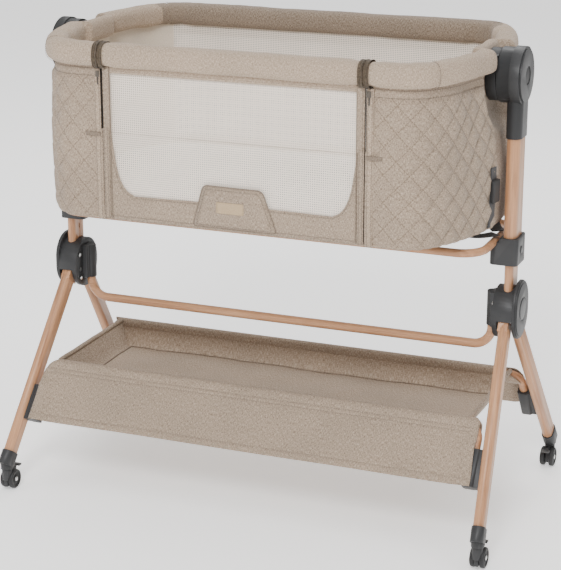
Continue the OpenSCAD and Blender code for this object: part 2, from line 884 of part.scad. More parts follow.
bassinet_wall();
floor_board();
mattress();
end_straps();
strap_buckles();
drop_rim();
drop_panel();
mesh_window();
end(-1) zip_slider();  // zip_slider_left
end(1) zip_slider();  // zip_slider_right
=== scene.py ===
import json
import math
import bmesh
import bpy
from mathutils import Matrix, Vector, noise


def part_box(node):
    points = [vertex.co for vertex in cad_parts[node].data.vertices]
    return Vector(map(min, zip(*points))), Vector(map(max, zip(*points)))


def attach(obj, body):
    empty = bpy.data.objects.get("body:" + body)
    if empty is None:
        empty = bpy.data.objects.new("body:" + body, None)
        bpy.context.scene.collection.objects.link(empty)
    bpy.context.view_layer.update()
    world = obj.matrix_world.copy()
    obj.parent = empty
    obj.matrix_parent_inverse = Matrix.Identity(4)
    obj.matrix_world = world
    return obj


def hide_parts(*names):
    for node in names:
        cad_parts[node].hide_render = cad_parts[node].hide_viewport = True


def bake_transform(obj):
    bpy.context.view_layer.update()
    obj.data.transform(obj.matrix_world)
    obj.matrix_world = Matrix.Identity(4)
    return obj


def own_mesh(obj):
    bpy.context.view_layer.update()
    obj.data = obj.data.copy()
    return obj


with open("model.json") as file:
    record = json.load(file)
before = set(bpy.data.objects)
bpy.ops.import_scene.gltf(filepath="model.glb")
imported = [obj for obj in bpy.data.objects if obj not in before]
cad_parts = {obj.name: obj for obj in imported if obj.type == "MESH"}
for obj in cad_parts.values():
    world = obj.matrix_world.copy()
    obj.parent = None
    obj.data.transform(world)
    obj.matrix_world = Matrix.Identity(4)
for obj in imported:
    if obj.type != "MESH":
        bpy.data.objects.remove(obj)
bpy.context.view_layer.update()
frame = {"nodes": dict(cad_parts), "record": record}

# ---------------------------------------------------------------------------
# Camera, lights and floor
# A long lens from the front right, a little above the rim, and a pale floor
# under broad soft lights.
# ---------------------------------------------------------------------------
camera_at = Vector((1.243, -3.102, 1.423))
camera_looks_at = Vector((-0.006, 0.0, 0.394))
camera = bpy.data.objects.new("camera", bpy.data.cameras.new("camera"))
camera.data.lens = 115.2
camera.data.sensor_width = 36
camera.location = camera_at
camera.rotation_euler = (camera_looks_at - camera_at).to_track_quat("-Z", "Y").to_euler()
bpy.context.collection.objects.link(camera)
bpy.context.scene.camera = camera


def soft_light(name, place, target, size, power):
    light = bpy.data.lights.new(name, "AREA")
    light.shape = "DISK"
    light.size = size
    light.energy = power
    lamp = bpy.data.objects.new(name, light)
    lamp.location = place
    lamp.rotation_euler = (Vector(target) - Vector(place)).to_track_quat("-Z", "Y").to_euler()
    bpy.context.collection.objects.link(lamp)


soft_light("key_light", (0.7, -4.1, 3.7), (0, 0, 0.4), 1.5, 200)
soft_light("fill_light", (-3.8, -2.4, 2.0), (0, 0, 0.5), 2.6, 12)
soft_light("back_light", (-0.6, 2.6, 3.4), (0, 0, 0.6), 2.4, 70)
sky = bpy.data.lights.new("overhead_light", "SUN")
sky.energy = 1.5
sky.angle = 1.1
overhead = bpy.data.objects.new("overhead_light", sky)
overhead.rotation_euler = (0.12, 0.10, 0)
bpy.context.collection.objects.link(overhead)

world = bpy.data.worlds.new("studio")
world.use_nodes = True
world.node_tree.nodes["Background"].inputs["Color"].default_value = (1.0, 0.99, 0.98, 1)
world.node_tree.nodes["Background"].inputs["Strength"].default_value = 0.42
bpy.context.scene.world = world


def new_piece(name, vertices, faces, smooth=True):
    mesh = bpy.data.meshes.new(name)
    mesh.from_pydata([tuple(v) for v in vertices], [], faces)
    mesh.validate()
    mesh.polygons.foreach_set("use_smooth", [smooth] * len(mesh.polygons))
    piece = bpy.data.objects.new(name, mesh)
    bpy.context.collection.objects.link(piece)
    return piece


def plain_mesh(piece):
    """Turns a piece's modifiers into plain faces."""
    bpy.context.view_layer.update()
    made = bpy.data.meshes.new_from_object(piece.evaluated_get(bpy.context.evaluated_depsgraph_get()))
    piece.modifiers.clear()
    piece.data = made


def face_outward(piece, towards_y=0):
    """Turns every face outward; towards_y says which way an open cloth looks along y."""
    work = bmesh.new()
    work.from_mesh(piece.data)
    bmesh.ops.recalc_face_normals(work, faces=work.faces)
    if sum(f.normal.y for f in work.faces) * towards_y < 0:
        bmesh.ops.reverse_faces(work, faces=work.faces)
    work.to_mesh(piece.data)
    work.free()


def belongs(piece, body, node=None):
    """Fixes a piece to its body and hides the solid it stands in for."""
    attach(piece, body)
    if node:
        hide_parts(node)


def put(tree, kind, sockets=None, **settings):
    made = tree.nodes.new(kind)
    for key, value in settings.items():
        setattr(made, key, value)
    for key, value in (sockets or {}).items():
        if hasattr(value, "is_output"):
            tree.links.new(value, made.inputs[key])
        else:
            made.inputs[key].default_value = value
    return made


def start_material(name, roughness, **sockets):
    material = bpy.data.materials.new(name)
    material.use_nodes = True
    tree = material.node_tree
    shader = tree.nodes["Principled BSDF"]
    shader.inputs["Roughness"].default_value = roughness
    for key, value in sockets.items():
        shader.inputs[key.replace("_", " ")].default_value = value
    return material, tree, shader


def ramp(tree, factor, stops):
    made = put(tree, "ShaderNodeValToRGB", {"Fac": factor})
    band = made.color_ramp
    band.elements[0].position, band.elements[0].color = stops[0][0], (*stops[0][1], 1)
    band.elements[1].position, band.elements[1].color = stops[-1][0], (*stops[-1][1], 1)
    for place, tint in stops[1:-1]:
        band.elements.new(place).color = (*tint, 1)
    return made.outputs["Color"]


def mixed(tree, factor, first, second, way="MIX"):
    made = put(tree, "ShaderNodeMix", data_type="RGBA", blend_type=way)
    for socket, value in ((made.inputs[0], factor), (made.inputs[6], first), (made.inputs[7], second)):
        if hasattr(value, "is_output"):
            tree.links.new(value, socket)
        elif isinstance(value, (int, float)):
            socket.default_value = value
        else:
            socket.default_value = (*value, 1)
    return made.outputs[2]


def bump(tree, shader, height, strength, distance):
    made = put(tree, "ShaderNodeBump", {"Height": height, "Strength": strength, "Distance": distance})
    tree.links.new(made.outputs["Normal"], shader.inputs["Normal"])


floor_material, tree, shader = start_material("pale_floor", 0.85)
grain = put(tree, "ShaderNodeTexNoise", {"Scale": 3.0, "Detail": 3.0})
tree.links.new(ramp(tree, grain.outputs["Fac"], [(0.3, (0.93, 0.925, 0.92)), (0.7, (0.96, 0.955, 0.95))]),
               shader.inputs["Base Color"])
tree.links.new(ramp(tree, grain.outputs["Fac"], [(0.3, (0.99, 0.99, 0.99)), (0.7, (1.0, 1.0, 1.0))]),
               shader.inputs["Emission Color"])
shader.inputs["Emission Strength"].default_value = 0.62
floor_half = 30.0
floor_z = -0.0008
floor_corners = [(x * floor_half, y * floor_half, floor_z) for x, y in ((-1, -1), (1, -1), (1, 1), (-1, 1))]
floor_plane = new_piece("studio_floor", floor_corners, [(0, 1, 2, 3)], smooth=False)
floor_plane.data.materials.append(floor_material)

# ---------------------------------------------------------------------------
# Moulded parts: hubs, covers, sockets, boots, brackets, collars and heads
# Charcoal glass-filled nylon, injection moulded in two halves with a fine
# spark-eroded grain and softened edges, screwed together from the inner side.
# ---------------------------------------------------------------------------
charcoal = (0.022, 0.0225, 0.0235)
charcoal_worn = (0.045, 0.0455, 0.047)


def toned(tint, share):
    return [share * c for c in tint]


def moulded_plastic(name, base, worn, roughness=0.42, grain_scale=900.0):
    material, tree, shader = start_material(name, roughness, Specular_IOR_Level=0.26)
    place = put(tree, "ShaderNodeTexCoord").outputs["Object"]
    cloudy = put(tree, "ShaderNodeTexNoise", {"Vector": place, "Scale": 14.0, "Detail": 4.0}).outputs["Fac"]
    fine = put(tree, "ShaderNodeTexNoise",
               {"Vector": place, "Scale": grain_scale, "Detail": 2.0}).outputs["Fac"]
    edges = put(tree, "ShaderNodeNewGeometry").outputs["Pointiness"]
    wear = ramp(tree, edges, [(0.5, (0, 0, 0)), (0.56, (1, 1, 1))])
    tone = mixed(tree, cloudy, toned(base, 0.88), toned(base, 1.14))
    tree.links.new(mixed(tree, wear, tone, worn), shader.inputs["Base Color"])
    rough = put(tree, "ShaderNodeMapRange",
                {"Value": cloudy, "To Min": roughness - 0.06, "To Max": roughness + 0.1})
    tree.links.new(rough.outputs["Result"], shader.inputs["Roughness"])
    bump(tree, shader, fine, 0.18, 0.0002)
    return material


plastic = moulded_plastic("charcoal_plastic", charcoal, charcoal_worn)
plastic_button = moulded_plastic("button_plastic", (0.032, 0.0325, 0.034), (0.06, 0.06, 0.062), 0.36)
plastic_dark = moulded_plastic("deep_charcoal_plastic", (0.012, 0.012, 0.0125), (0.03, 0.03, 0.031), 0.5)


def softened(node, material, width, segments=2, sharp=32):
    """A copy of a hard part with its flat faces joined and its edges rounded."""
    source = frame["nodes"][node]
    mesh = source.data.copy()
    work = bmesh.new()
    work.from_mesh(mesh)
    bmesh.ops.remove_doubles(work, verts=work.verts, dist=0.00002)
    bmesh.ops.dissolve_limit(work, angle_limit=math.radians(0.6), verts=work.verts, edges=work.edges,
                             delimit={"NORMAL"})
    work.to_mesh(mesh)
    work.free()
    mesh.materials.clear()
    mesh.materials.append(material)
    mesh.polygons.foreach_set("use_smooth", [True] * len(mesh.polygons))
    rough_copy = bpy.data.objects.new(node + "_shell", mesh)
    bpy.context.collection.objects.link(rough_copy)
    edge = rough_copy.modifiers.new("edges", "BEVEL")
    edge.width = width
    edge.segments = segments
    edge.limit_method = "ANGLE"
    edge.angle_limit = math.radians(sharp)
    edge.use_clamp_overlap = True
    edge.harden_normals = True
    plain_mesh(rough_copy)
    return rough_copy


body_of_node = {n: b for b, nodes in frame["record"]["behaviour"]["bodies"].items() for n in nodes}


def dress(node, material, width=0.0009, segments=2, sharp=32):
    piece = softened(node, material, width, segments, sharp)
    belongs(piece, body_of_node[node], node)
    return piece


for node in ("hub_housing_left", "hub_housing_right", "crossbar_sockets", "front_leg_boots", "rear_leg_boots",
             "front_brackets", "rear_brackets", "height_collars"):
    dress(node, plastic, 0.0014)
dress("hub_covers", plastic, 0.0022, 3)
dress("post_heads", plastic, 0.0022, 3)
dress("pivot_discs", plastic_dark, 0.0016)
for side in ("left", "right"):
    dress("fold_button_" + side, plastic_button, 0.0012, 3)
    dress("height_button_" + side, plastic_button, 0.0010, 3)
    dress("head_button_" + side, plastic_dark, 0.0012, 3)

# ---------------------------------------------------------------------------
# Screws and pivot pins
# Zinc-plated pan-head screws and turned steel pins, driven in from the inner
# side of the hubs and brackets.
# ---------------------------------------------------------------------------


def mottled(name, roughness, scale, detail, dark, light, relief, depth, **sockets):
    """A finish that wanders between two close tones, with a little relief."""
    material, tree, shader = start_material(name, roughness, **sockets)
    place = put(tree, "ShaderNodeTexCoord").outputs["Object"]
    grain = put(tree, "ShaderNodeTexNoise",
                {"Vector": place, "Scale": scale, "Detail": detail}).outputs["Fac"]
    tree.links.new(ramp(tree, grain, [(0.3, dark), (0.7, light)]), shader.inputs["Base Color"])
    bump(tree, shader, grain, relief, depth)
    return material


steel = mottled("plated_steel", 0.3, 420.0, 3.0, (0.50, 0.50, 0.50), (0.72, 0.72, 0.71), 0.15, 0.0001,
                Metallic=1.0)
for node in ("hub_screws", "leg_pivot_pins", "front_bracket_screws", "rear_bracket_screws"):
    dress(node, steel, 0.0006)

# ---------------------------------------------------------------------------
# Tubes: legs, posts, crossbar, hem tubes and support ring
# Bent and flattened steel tube with a beech print under a satin lacquer. The
# grain runs along each tube.
# ---------------------------------------------------------------------------
beech_light = (0.60, 0.325, 0.175)
beech_mid = (0.51, 0.262, 0.135)
beech_dark = (0.34, 0.160, 0.078)


def beech(name, along):
    material, tree, shader = start_material(name, 0.40, Coat_Weight=0.10, Coat_Roughness=0.25,
                                            Specular_IOR_Level=0.35)
    turn = Vector(along).rotation_difference(Vector((0, 0, 1))).to_euler()
    place = put(tree, "ShaderNodeTexCoord").outputs["Object"]
    upright = put(tree, "ShaderNodeMapping", {"Vector": place, "Rotation": turn}).outputs["Vector"]
    stretched = put(tree, "ShaderNodeMapping",
                    {"Vector": upright, "Scale": (1.0, 1.0, 0.045)}).outputs["Vector"]
    fibres = put(tree, "ShaderNodeTexNoise",
                 {"Vector": stretched, "Scale": 420.0, "Detail": 5.0, "Roughness": 0.6}).outputs["Fac"]
    bands = put(tree, "ShaderNodeTexNoise",
                {"Vector": stretched, "Scale": 90.0, "Detail": 3.0, "Distortion": 0.6}).outputs["Fac"]
    flecked = put(tree, "ShaderNodeMapping", {"Vector": upright, "Scale": (1.0, 1.0, 0.16)}).outputs["Vector"]
    flecks = put(tree, "ShaderNodeTexVoronoi", {"Vector": flecked, "Scale": 520.0}).outputs["Distance"]
    tone = ramp(tree, bands, [(0.32, beech_dark), (0.5, beech_mid), (0.68, beech_light)])
    tone = mixed(tree, 0.35, tone, ramp(tree, fibres, [(0.35, beech_dark), (0.62, beech_light)]))
    fleck = ramp(tree, flecks, [(0.02, (1, 1, 1)), (0.12, (0, 0, 0))])
    tone = mixed(tree, fleck, tone, toned(beech_dark, 0.8))
    tree.links.new(tone, shader.inputs["Base Color"])
    rough = put(tree, "ShaderNodeMapRange", {"Value": fibres, "To Min": 0.30, "To Max": 0.46})
    tree.links.new(rough.outputs["Result"], shader.inputs["Roughness"])
    bump(tree, shader, fibres, 0.12, 0.0002)
    return material


beech_up = beech("beech_upright", (0, 0, 1))
beech_across = beech("beech_across", (1, 0, 0))
leg_splay = 0.026
leg_spread = 0.238
leg_drop = 0.329
for row, fb in (("front", -1), ("rear", 1)):
    for side, lr in (("left", -1), ("right", 1)):
        low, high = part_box(row + "_leg_" + side)
        fall = Vector((lr * leg_splay, fb * leg_spread, -(high[2] - low[2])))
        dress(row + "_leg_" + side, beech("beech_" + row + "_" + side, fall), 0.0008, 2, 40)
for side in ("left", "right"):
    dress("inner_post_" + side, beech_up, 0.0006, 2, 40)
    dress("outer_post_" + side, beech_up, 0.0008, 2, 40)
for node in ("lower_crossbar", "support_ring", "front_hem_tube", "rear_hem_tube"):
    dress(node, beech_across, 0.0006, 2, 50)

# ---------------------------------------------------------------------------
# Castors
# Twin nylon wheels on a steel axle either side of a moulded web and hood, with
# a small foot lever that brakes them. The stem turns in the leg boot.
# ---------------------------------------------------------------------------
tread = moulded_plastic("castor_nylon", (0.014, 0.014, 0.0145), (0.035, 0.035, 0.036), 0.5)
lever_grey = moulded_plastic("lever_nylon", (0.045, 0.045, 0.046), (0.08, 0.08, 0.08), 0.45)
axle_cap_r = 0.0048


def lathe(name, profile, centre, steps=48):
    """Turns (radius, distance along the axis) points round a line through centre."""
    vertices, faces = [], []
    for i in range(steps):
        a = 2 * math.pi * i / steps
        for r, d in profile:
            vertices.append((centre[0] + d, centre[1] + r * math.cos(a), centre[2] + r * math.sin(a)))
    n = len(profile)
    for i in range(steps):
        j = (i + 1) % steps
        for k in range(n - 1):
            faces.append((i * n + k, i * n + k + 1, j * n + k + 1, j * n + k))
    made = new_piece(name, vertices, faces)
    work = bmesh.new()
    work.from_mesh(made.data)
    bmesh.ops.remove_doubles(work, verts=work.verts, dist=0.00001)
    bmesh.ops.recalc_face_normals(work, faces=work.faces)
    work.to_mesh(made.data)
    work.free()
    return made


def joined(name, parts):
    work = bmesh.new()
    slots = []
    for part in parts:
        for material in part.data.materials:
            if material not in slots:
                slots.append(material)
    for part in parts:
        before = len(work.faces)
        work.from_mesh(part.data)
        work.faces.ensure_lookup_table()
        places = [slots.index(m) for m in part.data.materials]
        for face in work.faces[before:]:
            face.material_index = places[face.material_index]
    mesh = bpy.data.meshes.new(name)
    work.to_mesh(mesh)
    work.free()
    for material in slots:
        mesh.materials.append(material)
    for part in parts:
        bpy.data.objects.remove(part)
    whole = bpy.data.objects.new(name, mesh)
    bpy.context.collection.objects.link(whole)
    return whole


for row in ("front", "rear"):
    for side in ("left", "right"):
        corner = row + "_" + side
        dress("castor_fork_" + corner, plastic, 0.0008)
        dress("castor_brake_" + corner, lever_grey, 0.0006)
        low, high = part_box("castor_wheels_" + corner)
        middle = [(low[i] + high[i]) / 2 for i in range(3)]
        wheel_r = (high[2] - low[2]) / 2
        half = (high[0] - low[0]) / 2
        inner = half - 0.009
        parts = []
        for k in (-1, 1):
            outline = [(0.0001, k * inner), (wheel_r - 0.002, k * inner),
                       (wheel_r - 0.0004, k * (inner + 0.0008)),
                       (wheel_r, k * (inner + 0.0026)), (wheel_r, k * (half - 0.0032)),
                       (wheel_r - 0.0005, k * (half - 0.0012)), (wheel_r - 0.0024, k * half),
                       (wheel_r - 0.0042, k * half), (wheel_r - 0.0050, k * (half - 0.0012)),
                       (axle_cap_r + 0.0030, k * (half - 0.0022)), (axle_cap_r + 0.0016, k * (half - 0.0006)),
                       (axle_cap_r + 0.0004, k * (half - 0.0003)), (axle_cap_r + 0.0002, k * (half - 0.0010)),
                       (0.0001, k * (half - 0.0010))]
            wheel = lathe("wheel", outline, middle)
            wheel.data.materials.append(tread)
            crown = [(0.0001, k * (half - 0.0012)), (axle_cap_r, k * (half - 0.0012)),
                     (axle_cap_r - 0.0006, k * (half + 0.0001)), (axle_cap_r - 0.0016, k * (half + 0.0005)),
                     (0.0001, k * (half + 0.0006))]
            cap = lathe("cap", crown, middle, 24)
            cap.data.materials.append(steel)
            parts += [wheel, cap]
        rod = [(0.0001, -inner), (0.0025, -inner), (0.0025, inner), (0.0001, inner)]
        axle = lathe("axle", rod, middle, 20)
        axle.data.materials.append(steel)
        wheels = joined("twin_wheels_" + corner, parts + [axle])
        belongs(wheels, "wheels_" + corner, "castor_wheels_" + corner)

# ---------------------------------------------------------------------------
# Cloth finishes
# A heather linen-look weave: warm beige yarn with lighter slubs and darker
# flecks, a little fuzzy. The weave follows the cut, so it reads the map
# "weave", laid out in metres along and across each piece.
# ---------------------------------------------------------------------------
linen = (0.335, 0.255, 0.188)
linen_light = (0.560, 0.455, 0.355)
linen_dark = (0.165, 0.117, 0.080)


def heather(name, mid, light, dark, contrast=1.0, sheen=0.15):
    material, tree, shader = start_material(name, 0.92, Sheen_Weight=sheen, Sheen_Roughness=0.5,
                                            Specular_IOR_Level=0.18)
    flat = put(tree, "ShaderNodeUVMap", uv_map="weave").outputs["UV"]
    warp = put(tree, "ShaderNodeMapping", {"Vector": flat, "Scale": (1.0, 0.22, 1.0)}).outputs["Vector"]
    weft = put(tree, "ShaderNodeMapping", {"Vector": flat, "Scale": (0.25, 1.0, 1.0)}).outputs["Vector"]
    slubs_up = put(tree, "ShaderNodeTexNoise",
                   {"Vector": warp, "Scale": 900.0, "Detail": 3.0, "Roughness": 0.65}).outputs["Fac"]
    slubs_across = put(tree, "ShaderNodeTexNoise",
                       {"Vector": weft, "Scale": 920.0, "Detail": 3.0, "Roughness": 0.65}).outputs["Fac"]
    flecks = put(tree, "ShaderNodeTexNoise",
                 {"Vector": flat, "Scale": 800.0, "Detail": 2.0, "Roughness": 0.7}).outputs["Fac"]
    clouds = put(tree, "ShaderNodeTexNoise", {"Vector": flat, "Scale": 9.0, "Detail": 3.0}).outputs["Fac"]
    spread = 0.11 / contrast
    tone = ramp(tree, slubs_up, [(0.5 - spread, dark), (0.5, mid), (0.5 + spread, light)])
    crossing = ramp(tree, slubs_across, [(0.5 - spread, dark), (0.5, mid), (0.5 + spread, light)])
    tone = mixed(tree, 0.42, tone, crossing)
    tone = mixed(tree, ramp(tree, flecks, [(0.56, (0, 0, 0)), (0.70, (0.5, 0.5, 0.5))]), tone, light)
    tone = mixed(tree, ramp(tree, flecks, [(0.30, (0.5, 0.5, 0.5)), (0.44, (0, 0, 0))]), tone, dark)
    shade = ramp(tree, clouds, [(0.3, (0.93, 0.93, 0.93)), (0.7, (1.06, 1.05, 1.04))])
    tree.links.new(mixed(tree, 1.0, tone, shade, "MULTIPLY"), shader.inputs["Base Color"])
    threads = put(tree, "ShaderNodeTexWave", {"Vector": flat, "Scale": 260.0, "Distortion": 1.5},
                  bands_direction="X").outputs["Fac"]
    picks = put(tree, "ShaderNodeTexWave", {"Vector": flat, "Scale": 260.0, "Distortion": 1.5},
                bands_direction="Y").outputs["Fac"]
    woven = put(tree, "ShaderNodeMath", {0: threads, 1: picks}, operation="ADD").outputs[0]
    relief = put(tree, "ShaderNodeMath", {0: woven, 1: slubs_up}, operation="ADD").outputs[0]
    bump(tree, shader, relief, 0.35, 0.0005)
    return material


def linen_toned(name, mid_share, light_share, dark_share, contrast=1.0):
    """The same linen in another tone."""
    return heather(name, toned(linen, mid_share), toned(linen_light, light_share),
                   toned(linen_dark, dark_share), contrast)


cloth = heather("linen_weave", linen, linen_light, linen_dark)
cloth_rim = linen_toned("rim_weave", 1.22, 1.14, 1.35)
cloth_shade = linen_toned("rim_back_weave", 0.72, 0.72, 0.70, 1.2)
# Painted light: the shelf takes the linen in a lighter tone to offset the shade that falls on the tray under
# the bassinet.
shelf_cloth_painted_light = linen_toned("shelf_weave_painted_light", 1.12, 1.05, 1.15, 0.9)
cloth_cream = heather("cream_lining", (0.70, 0.61, 0.50), (0.77, 0.685, 0.575), (0.61, 0.52, 0.415), 0.7)
binding = linen_toned("binding_tape", 0.66, 0.62, 0.7)
binding_dark = heather("dark_elastic", (0.072, 0.053, 0.035), (0.15, 0.115, 0.080),
                       (0.030, 0.021, 0.013), 1.2)


def cloth_map(piece, places):
    """Lays the weave map on a piece: places[i] is (along, across) in metres for vertex i."""
    layer = piece.data.uv_layers.new(name="weave")
    corners = [c.vertex_index for c in piece.data.loops]
    layer.data.foreach_set("uv", [value for v in corners for value in places[v]])


def grid_faces(columns, rows, closed_rows=False, closed_columns=False, flip=False):
    faces = []
    for i in range(columns if closed_columns else columns - 1):
        for j in range(rows if closed_rows else rows - 1):
            a, b = i * rows + j, i * rows + (j + 1) % rows
            c, d = ((i + 1) % columns) * rows + (j + 1) % rows, ((i + 1) % columns) * rows + j
            faces.append((a, b, c, d) if flip else (a, d, c, b))
    return faces


def end_faces(columns, rows):
    """The two faces that close the ends of a tube."""
    return [tuple(range(rows)), tuple(reversed(range((columns - 1) * rows, columns * rows)))]


def thickened(piece, thickness, side):
    """Gives a cloth its thickness, to the front (1) or the back (-1) of its faces."""
    shell = piece.modifiers.new("cloth", "SOLIDIFY")
    shell.thickness = thickness
    shell.offset = side
    plain_mesh(piece)


def wave(x, y, z, size, seed=0.0):
    return noise.noise(Vector((x / size + seed, y / size - seed, z / size + 2.3 * seed)))


def spaced_points(name, sizes, paint):
    """Starts a geometry node tree that sets one point every pitch along each line."""
    tree = bpy.data.node_groups.new(name, "GeometryNodeTree")
    tree.interface.new_socket("Geometry", in_out="INPUT", socket_type="NodeSocketGeometry")
    for label, value in sizes:
        tree.interface.new_socket(label, in_out="INPUT", socket_type="NodeSocketFloat").default_value = value
    tree.interface.new_socket(paint, in_out="INPUT", socket_type="NodeSocketMaterial")
    tree.interface.new_socket("Geometry", in_out="OUTPUT", socket_type="NodeSocketGeometry")
    start = put(tree, "NodeGroupInput").outputs
    line = put(tree, "GeometryNodeMeshToCurve", {"Mesh": start["Geometry"]}).outputs["Curve"]
    spaced = put(tree, "GeometryNodeResampleCurve", {"Curve": line, "Length": start["Pitch"]}, mode="LENGTH")
    return tree, start, spaced.outputs["Curve"]


def painted_copies(tree, copies, paint):
    """Ends the tree: the copies become real and take their finish."""
    real = put(tree, "GeometryNodeRealizeInstances", {"Geometry": copies.outputs["Instances"]})
    painted = put(tree, "GeometryNodeSetMaterial", {"Geometry": real.outputs["Geometry"], "Material": paint})
    end = put(tree, "NodeGroupOutput")
    tree.links.new(painted.outputs["Geometry"], end.inputs["Geometry"])
    return tree


def stitch_tree():
    """One thread loop every pitch, lying along the line."""
    sizes = (("Pitch", 0.0042), ("Stitch length", 0.0030), ("Thread radius", 0.00045))
    tree, start, spaced = spaced_points("running_stitch", sizes, "Thread")
    heading = put(tree, "GeometryNodeInputTangent").outputs["Tangent"]
    turn = put(tree, "FunctionNodeAlignRotationToVector", {"Vector": heading}, axis="Z").outputs["Rotation"]
    thread = put(tree, "GeometryNodeMeshCylinder", {"Vertices": 5, "Radius": start["Thread radius"],
                                                    "Depth": start["Stitch length"]}).outputs["Mesh"]
    loops = put(tree, "GeometryNodeInstanceOnPoints",
                {"Points": spaced, "Instance": thread, "Rotation": turn})
    return painted_copies(tree, loops, start["Thread"])


running_stitch = stitch_tree()


def thread_colour(name, tint):
    material, tree, shader = start_material(name, 0.8, Sheen_Weight=0.2)
    place = put(tree, "ShaderNodeTexCoord").outputs["Object"]
    twist = put(tree, "ShaderNodeTexNoise", {"Vector": place, "Scale": 700.0}).outputs["Fac"]
    tree.links.new(ramp(tree, twist, [(0.3, toned(tint, 0.7)), (0.7, toned(tint, 1.25))]),
                   shader.inputs["Base Color"])
    return material


thread_dark = thread_colour("brown_thread", (0.17, 0.13, 0.095))
thread_light = thread_colour("sand_thread", (0.46, 0.39, 0.31))


def grown(name, runs, group, values):
    """Grows a node tree along lines of points and returns the plain mesh."""
    vertices, edges = [], []
    for run in runs:
        first = len(vertices)
        vertices += [tuple(p) for p in run]
        edges += [(first + i, first + i + 1) for i in range(len(run) - 1)]
    mesh = bpy.data.meshes.new(name)
    mesh.from_pydata(vertices, edges, [])
    piece = bpy.data.objects.new(name, mesh)
    bpy.context.collection.objects.link(piece)
    maker = piece.modifiers.new("maker", "NODES")
    maker.node_group = group
    for item in group.interface.items_tree:
        if item.item_type == "SOCKET" and item.in_out == "INPUT" and item.name in values:
            maker[item.identifier] = values[item.name]
    plain_mesh(piece)
    return piece


def stitched(name, runs, body, thread=thread_dark, pitch=0.0042):
    piece = grown(name, runs, running_stitch, {"Pitch": pitch, "Thread": thread})
    belongs(piece, body)
    return piece


# ---------------------------------------------------------------------------
# Plan of the bassinet
# Straight front and back, wide corner arcs and a shallow bowed end. The wall,
# the rim and the mattress follow it at their own offsets.
# ---------------------------------------------------------------------------
wall_low, wall_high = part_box("bassinet_wall")
rim_low, rim_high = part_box("rim_pad")
drop_low, drop_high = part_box("drop_panel")
disc_low, disc_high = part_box("pivot_discs")
swing_z = (disc_low[2] + disc_high[2]) / 2
disc_r = (disc_high[2] - disc_low[2]) / 2
disc_in = disc_high[0] - 0.020
drop_half = drop_high[0]
corner_x = drop_half + 0.052
end_from = 0.3
back_from = 0.2
hub_reach = 0.085


def smooth_step(low, high, value):
    t = min(max((value - low) / (high - low), 0.0), 1.0)
    return t * t * (3 - 2 * t)


def plan_run(half_l, half_d, corner_r, from_x, spacing):
    """Points (x, y, outward x, outward y, distance) from the right front, round the back, to the left."""
    q, cy = half_l - corner_r, half_d - corner_r
    end_x = (q * q - corner_x ** 2 - cy * cy) / (2 * (q - corner_x))
    swing = math.atan2(cy, corner_x - end_x)
    end_r = half_l - end_x
    arc = [(corner_x + corner_r * math.sin(t), cy + corner_r * math.cos(t))
           for t in [(math.pi / 2 - swing) * i / 90 for i in range(91)]]
    arc += [(end_x + end_r * math.cos(swing * (1 - i / 90)), end_r * math.sin(swing * (1 - i / 90)))
            for i in range(1, 91)]
    front = [(from_x, half_d)] if from_x < corner_x else []
    back = [(corner_x * i / 40, half_d) for i in range(40)]
    right = [(x, -y) for x, y in front + arc] + [(x, y) for x, y in reversed(back + arc)][1:]
    whole = right + [(-x, y) for x, y in reversed(right)][1:]
    lengths = [0.0]
    for a, b in zip(whole, whole[1:]):
        lengths.append(lengths[-1] + math.dist(a, b))
    count = int(lengths[-1] / spacing)
    run, k = [], 0
    for i in range(count + 1):
        s = lengths[-1] * i / count
        while k < len(whole) - 2 and lengths[k + 1] < s:
            k += 1
        f = (s - lengths[k]) / max(lengths[k + 1] - lengths[k], 1e-9)
        run.append((whole[k][0] + f * (whole[k + 1][0] - whole[k][0]),
                    whole[k][1] + f * (whole[k + 1][1] - whole[k][1]), s))
    made = []
    for i, (x, y, s) in enumerate(run):
        a, b = run[max(i - 1, 0)], run[min(i + 1, len(run) - 1)]
        tx, ty = b[0] - a[0], b[1] - a[1]
        size = math.hypot(tx, ty)
        made.append((x, y, ty / size, -tx / size, s))
    return made


def drawn_in(y, z):
    """The cloth is pulled a little flatter than the frame across each end, most of all near the rim."""
    return (0.005 + 0.009 * smooth_step(0.66, 0.76, z)) * (1 - smooth_step(0.10, 0.20, abs(y)))


def beside_hub(x, y, z, reach, margin=0.0, flatness=1.0):
    """x, brought in so that the cloth clears the swing hub."""
    away = math.hypot(y, z - swing_z) - (disc_r + 0.0012 + margin)
    edge = disc_in - 0.0008 + 0.036 * smooth_step(0, reach, away)
    flat = abs(x) - flatness * drawn_in(y, z) * (abs(x) > end_from)
    return math.copysign(min(flat, edge), x)


# ---------------------------------------------------------------------------
# Bassinet wall
# Linen outside, quilted in diamonds over thin wadding on the corner panels and
# plain behind the posts; a plain lining inside; a long mesh window at the back.
# Two seams run round it under the rim and the bottom edge is turned in.
# ---------------------------------------------------------------------------
quilt_pitch = 0.044
quilt_slope = 0.92
quilt_rise = 0.0056
plain_end = 0.040
back_window = 0.330
wall_top = rim_low[2] + 0.012
wall_bottom = wall_low[2]
hem_round = 0.016
band_seams = (rim_low[2] - 0.004, rim_low[2] - 0.013)
window_floor = wall_bottom + 0.055


def worked(tree, operation, *values):
    """The result of one arithmetic node."""
    return put(tree, "ShaderNodeMath", dict(enumerate(values)), operation=operation).outputs[0]


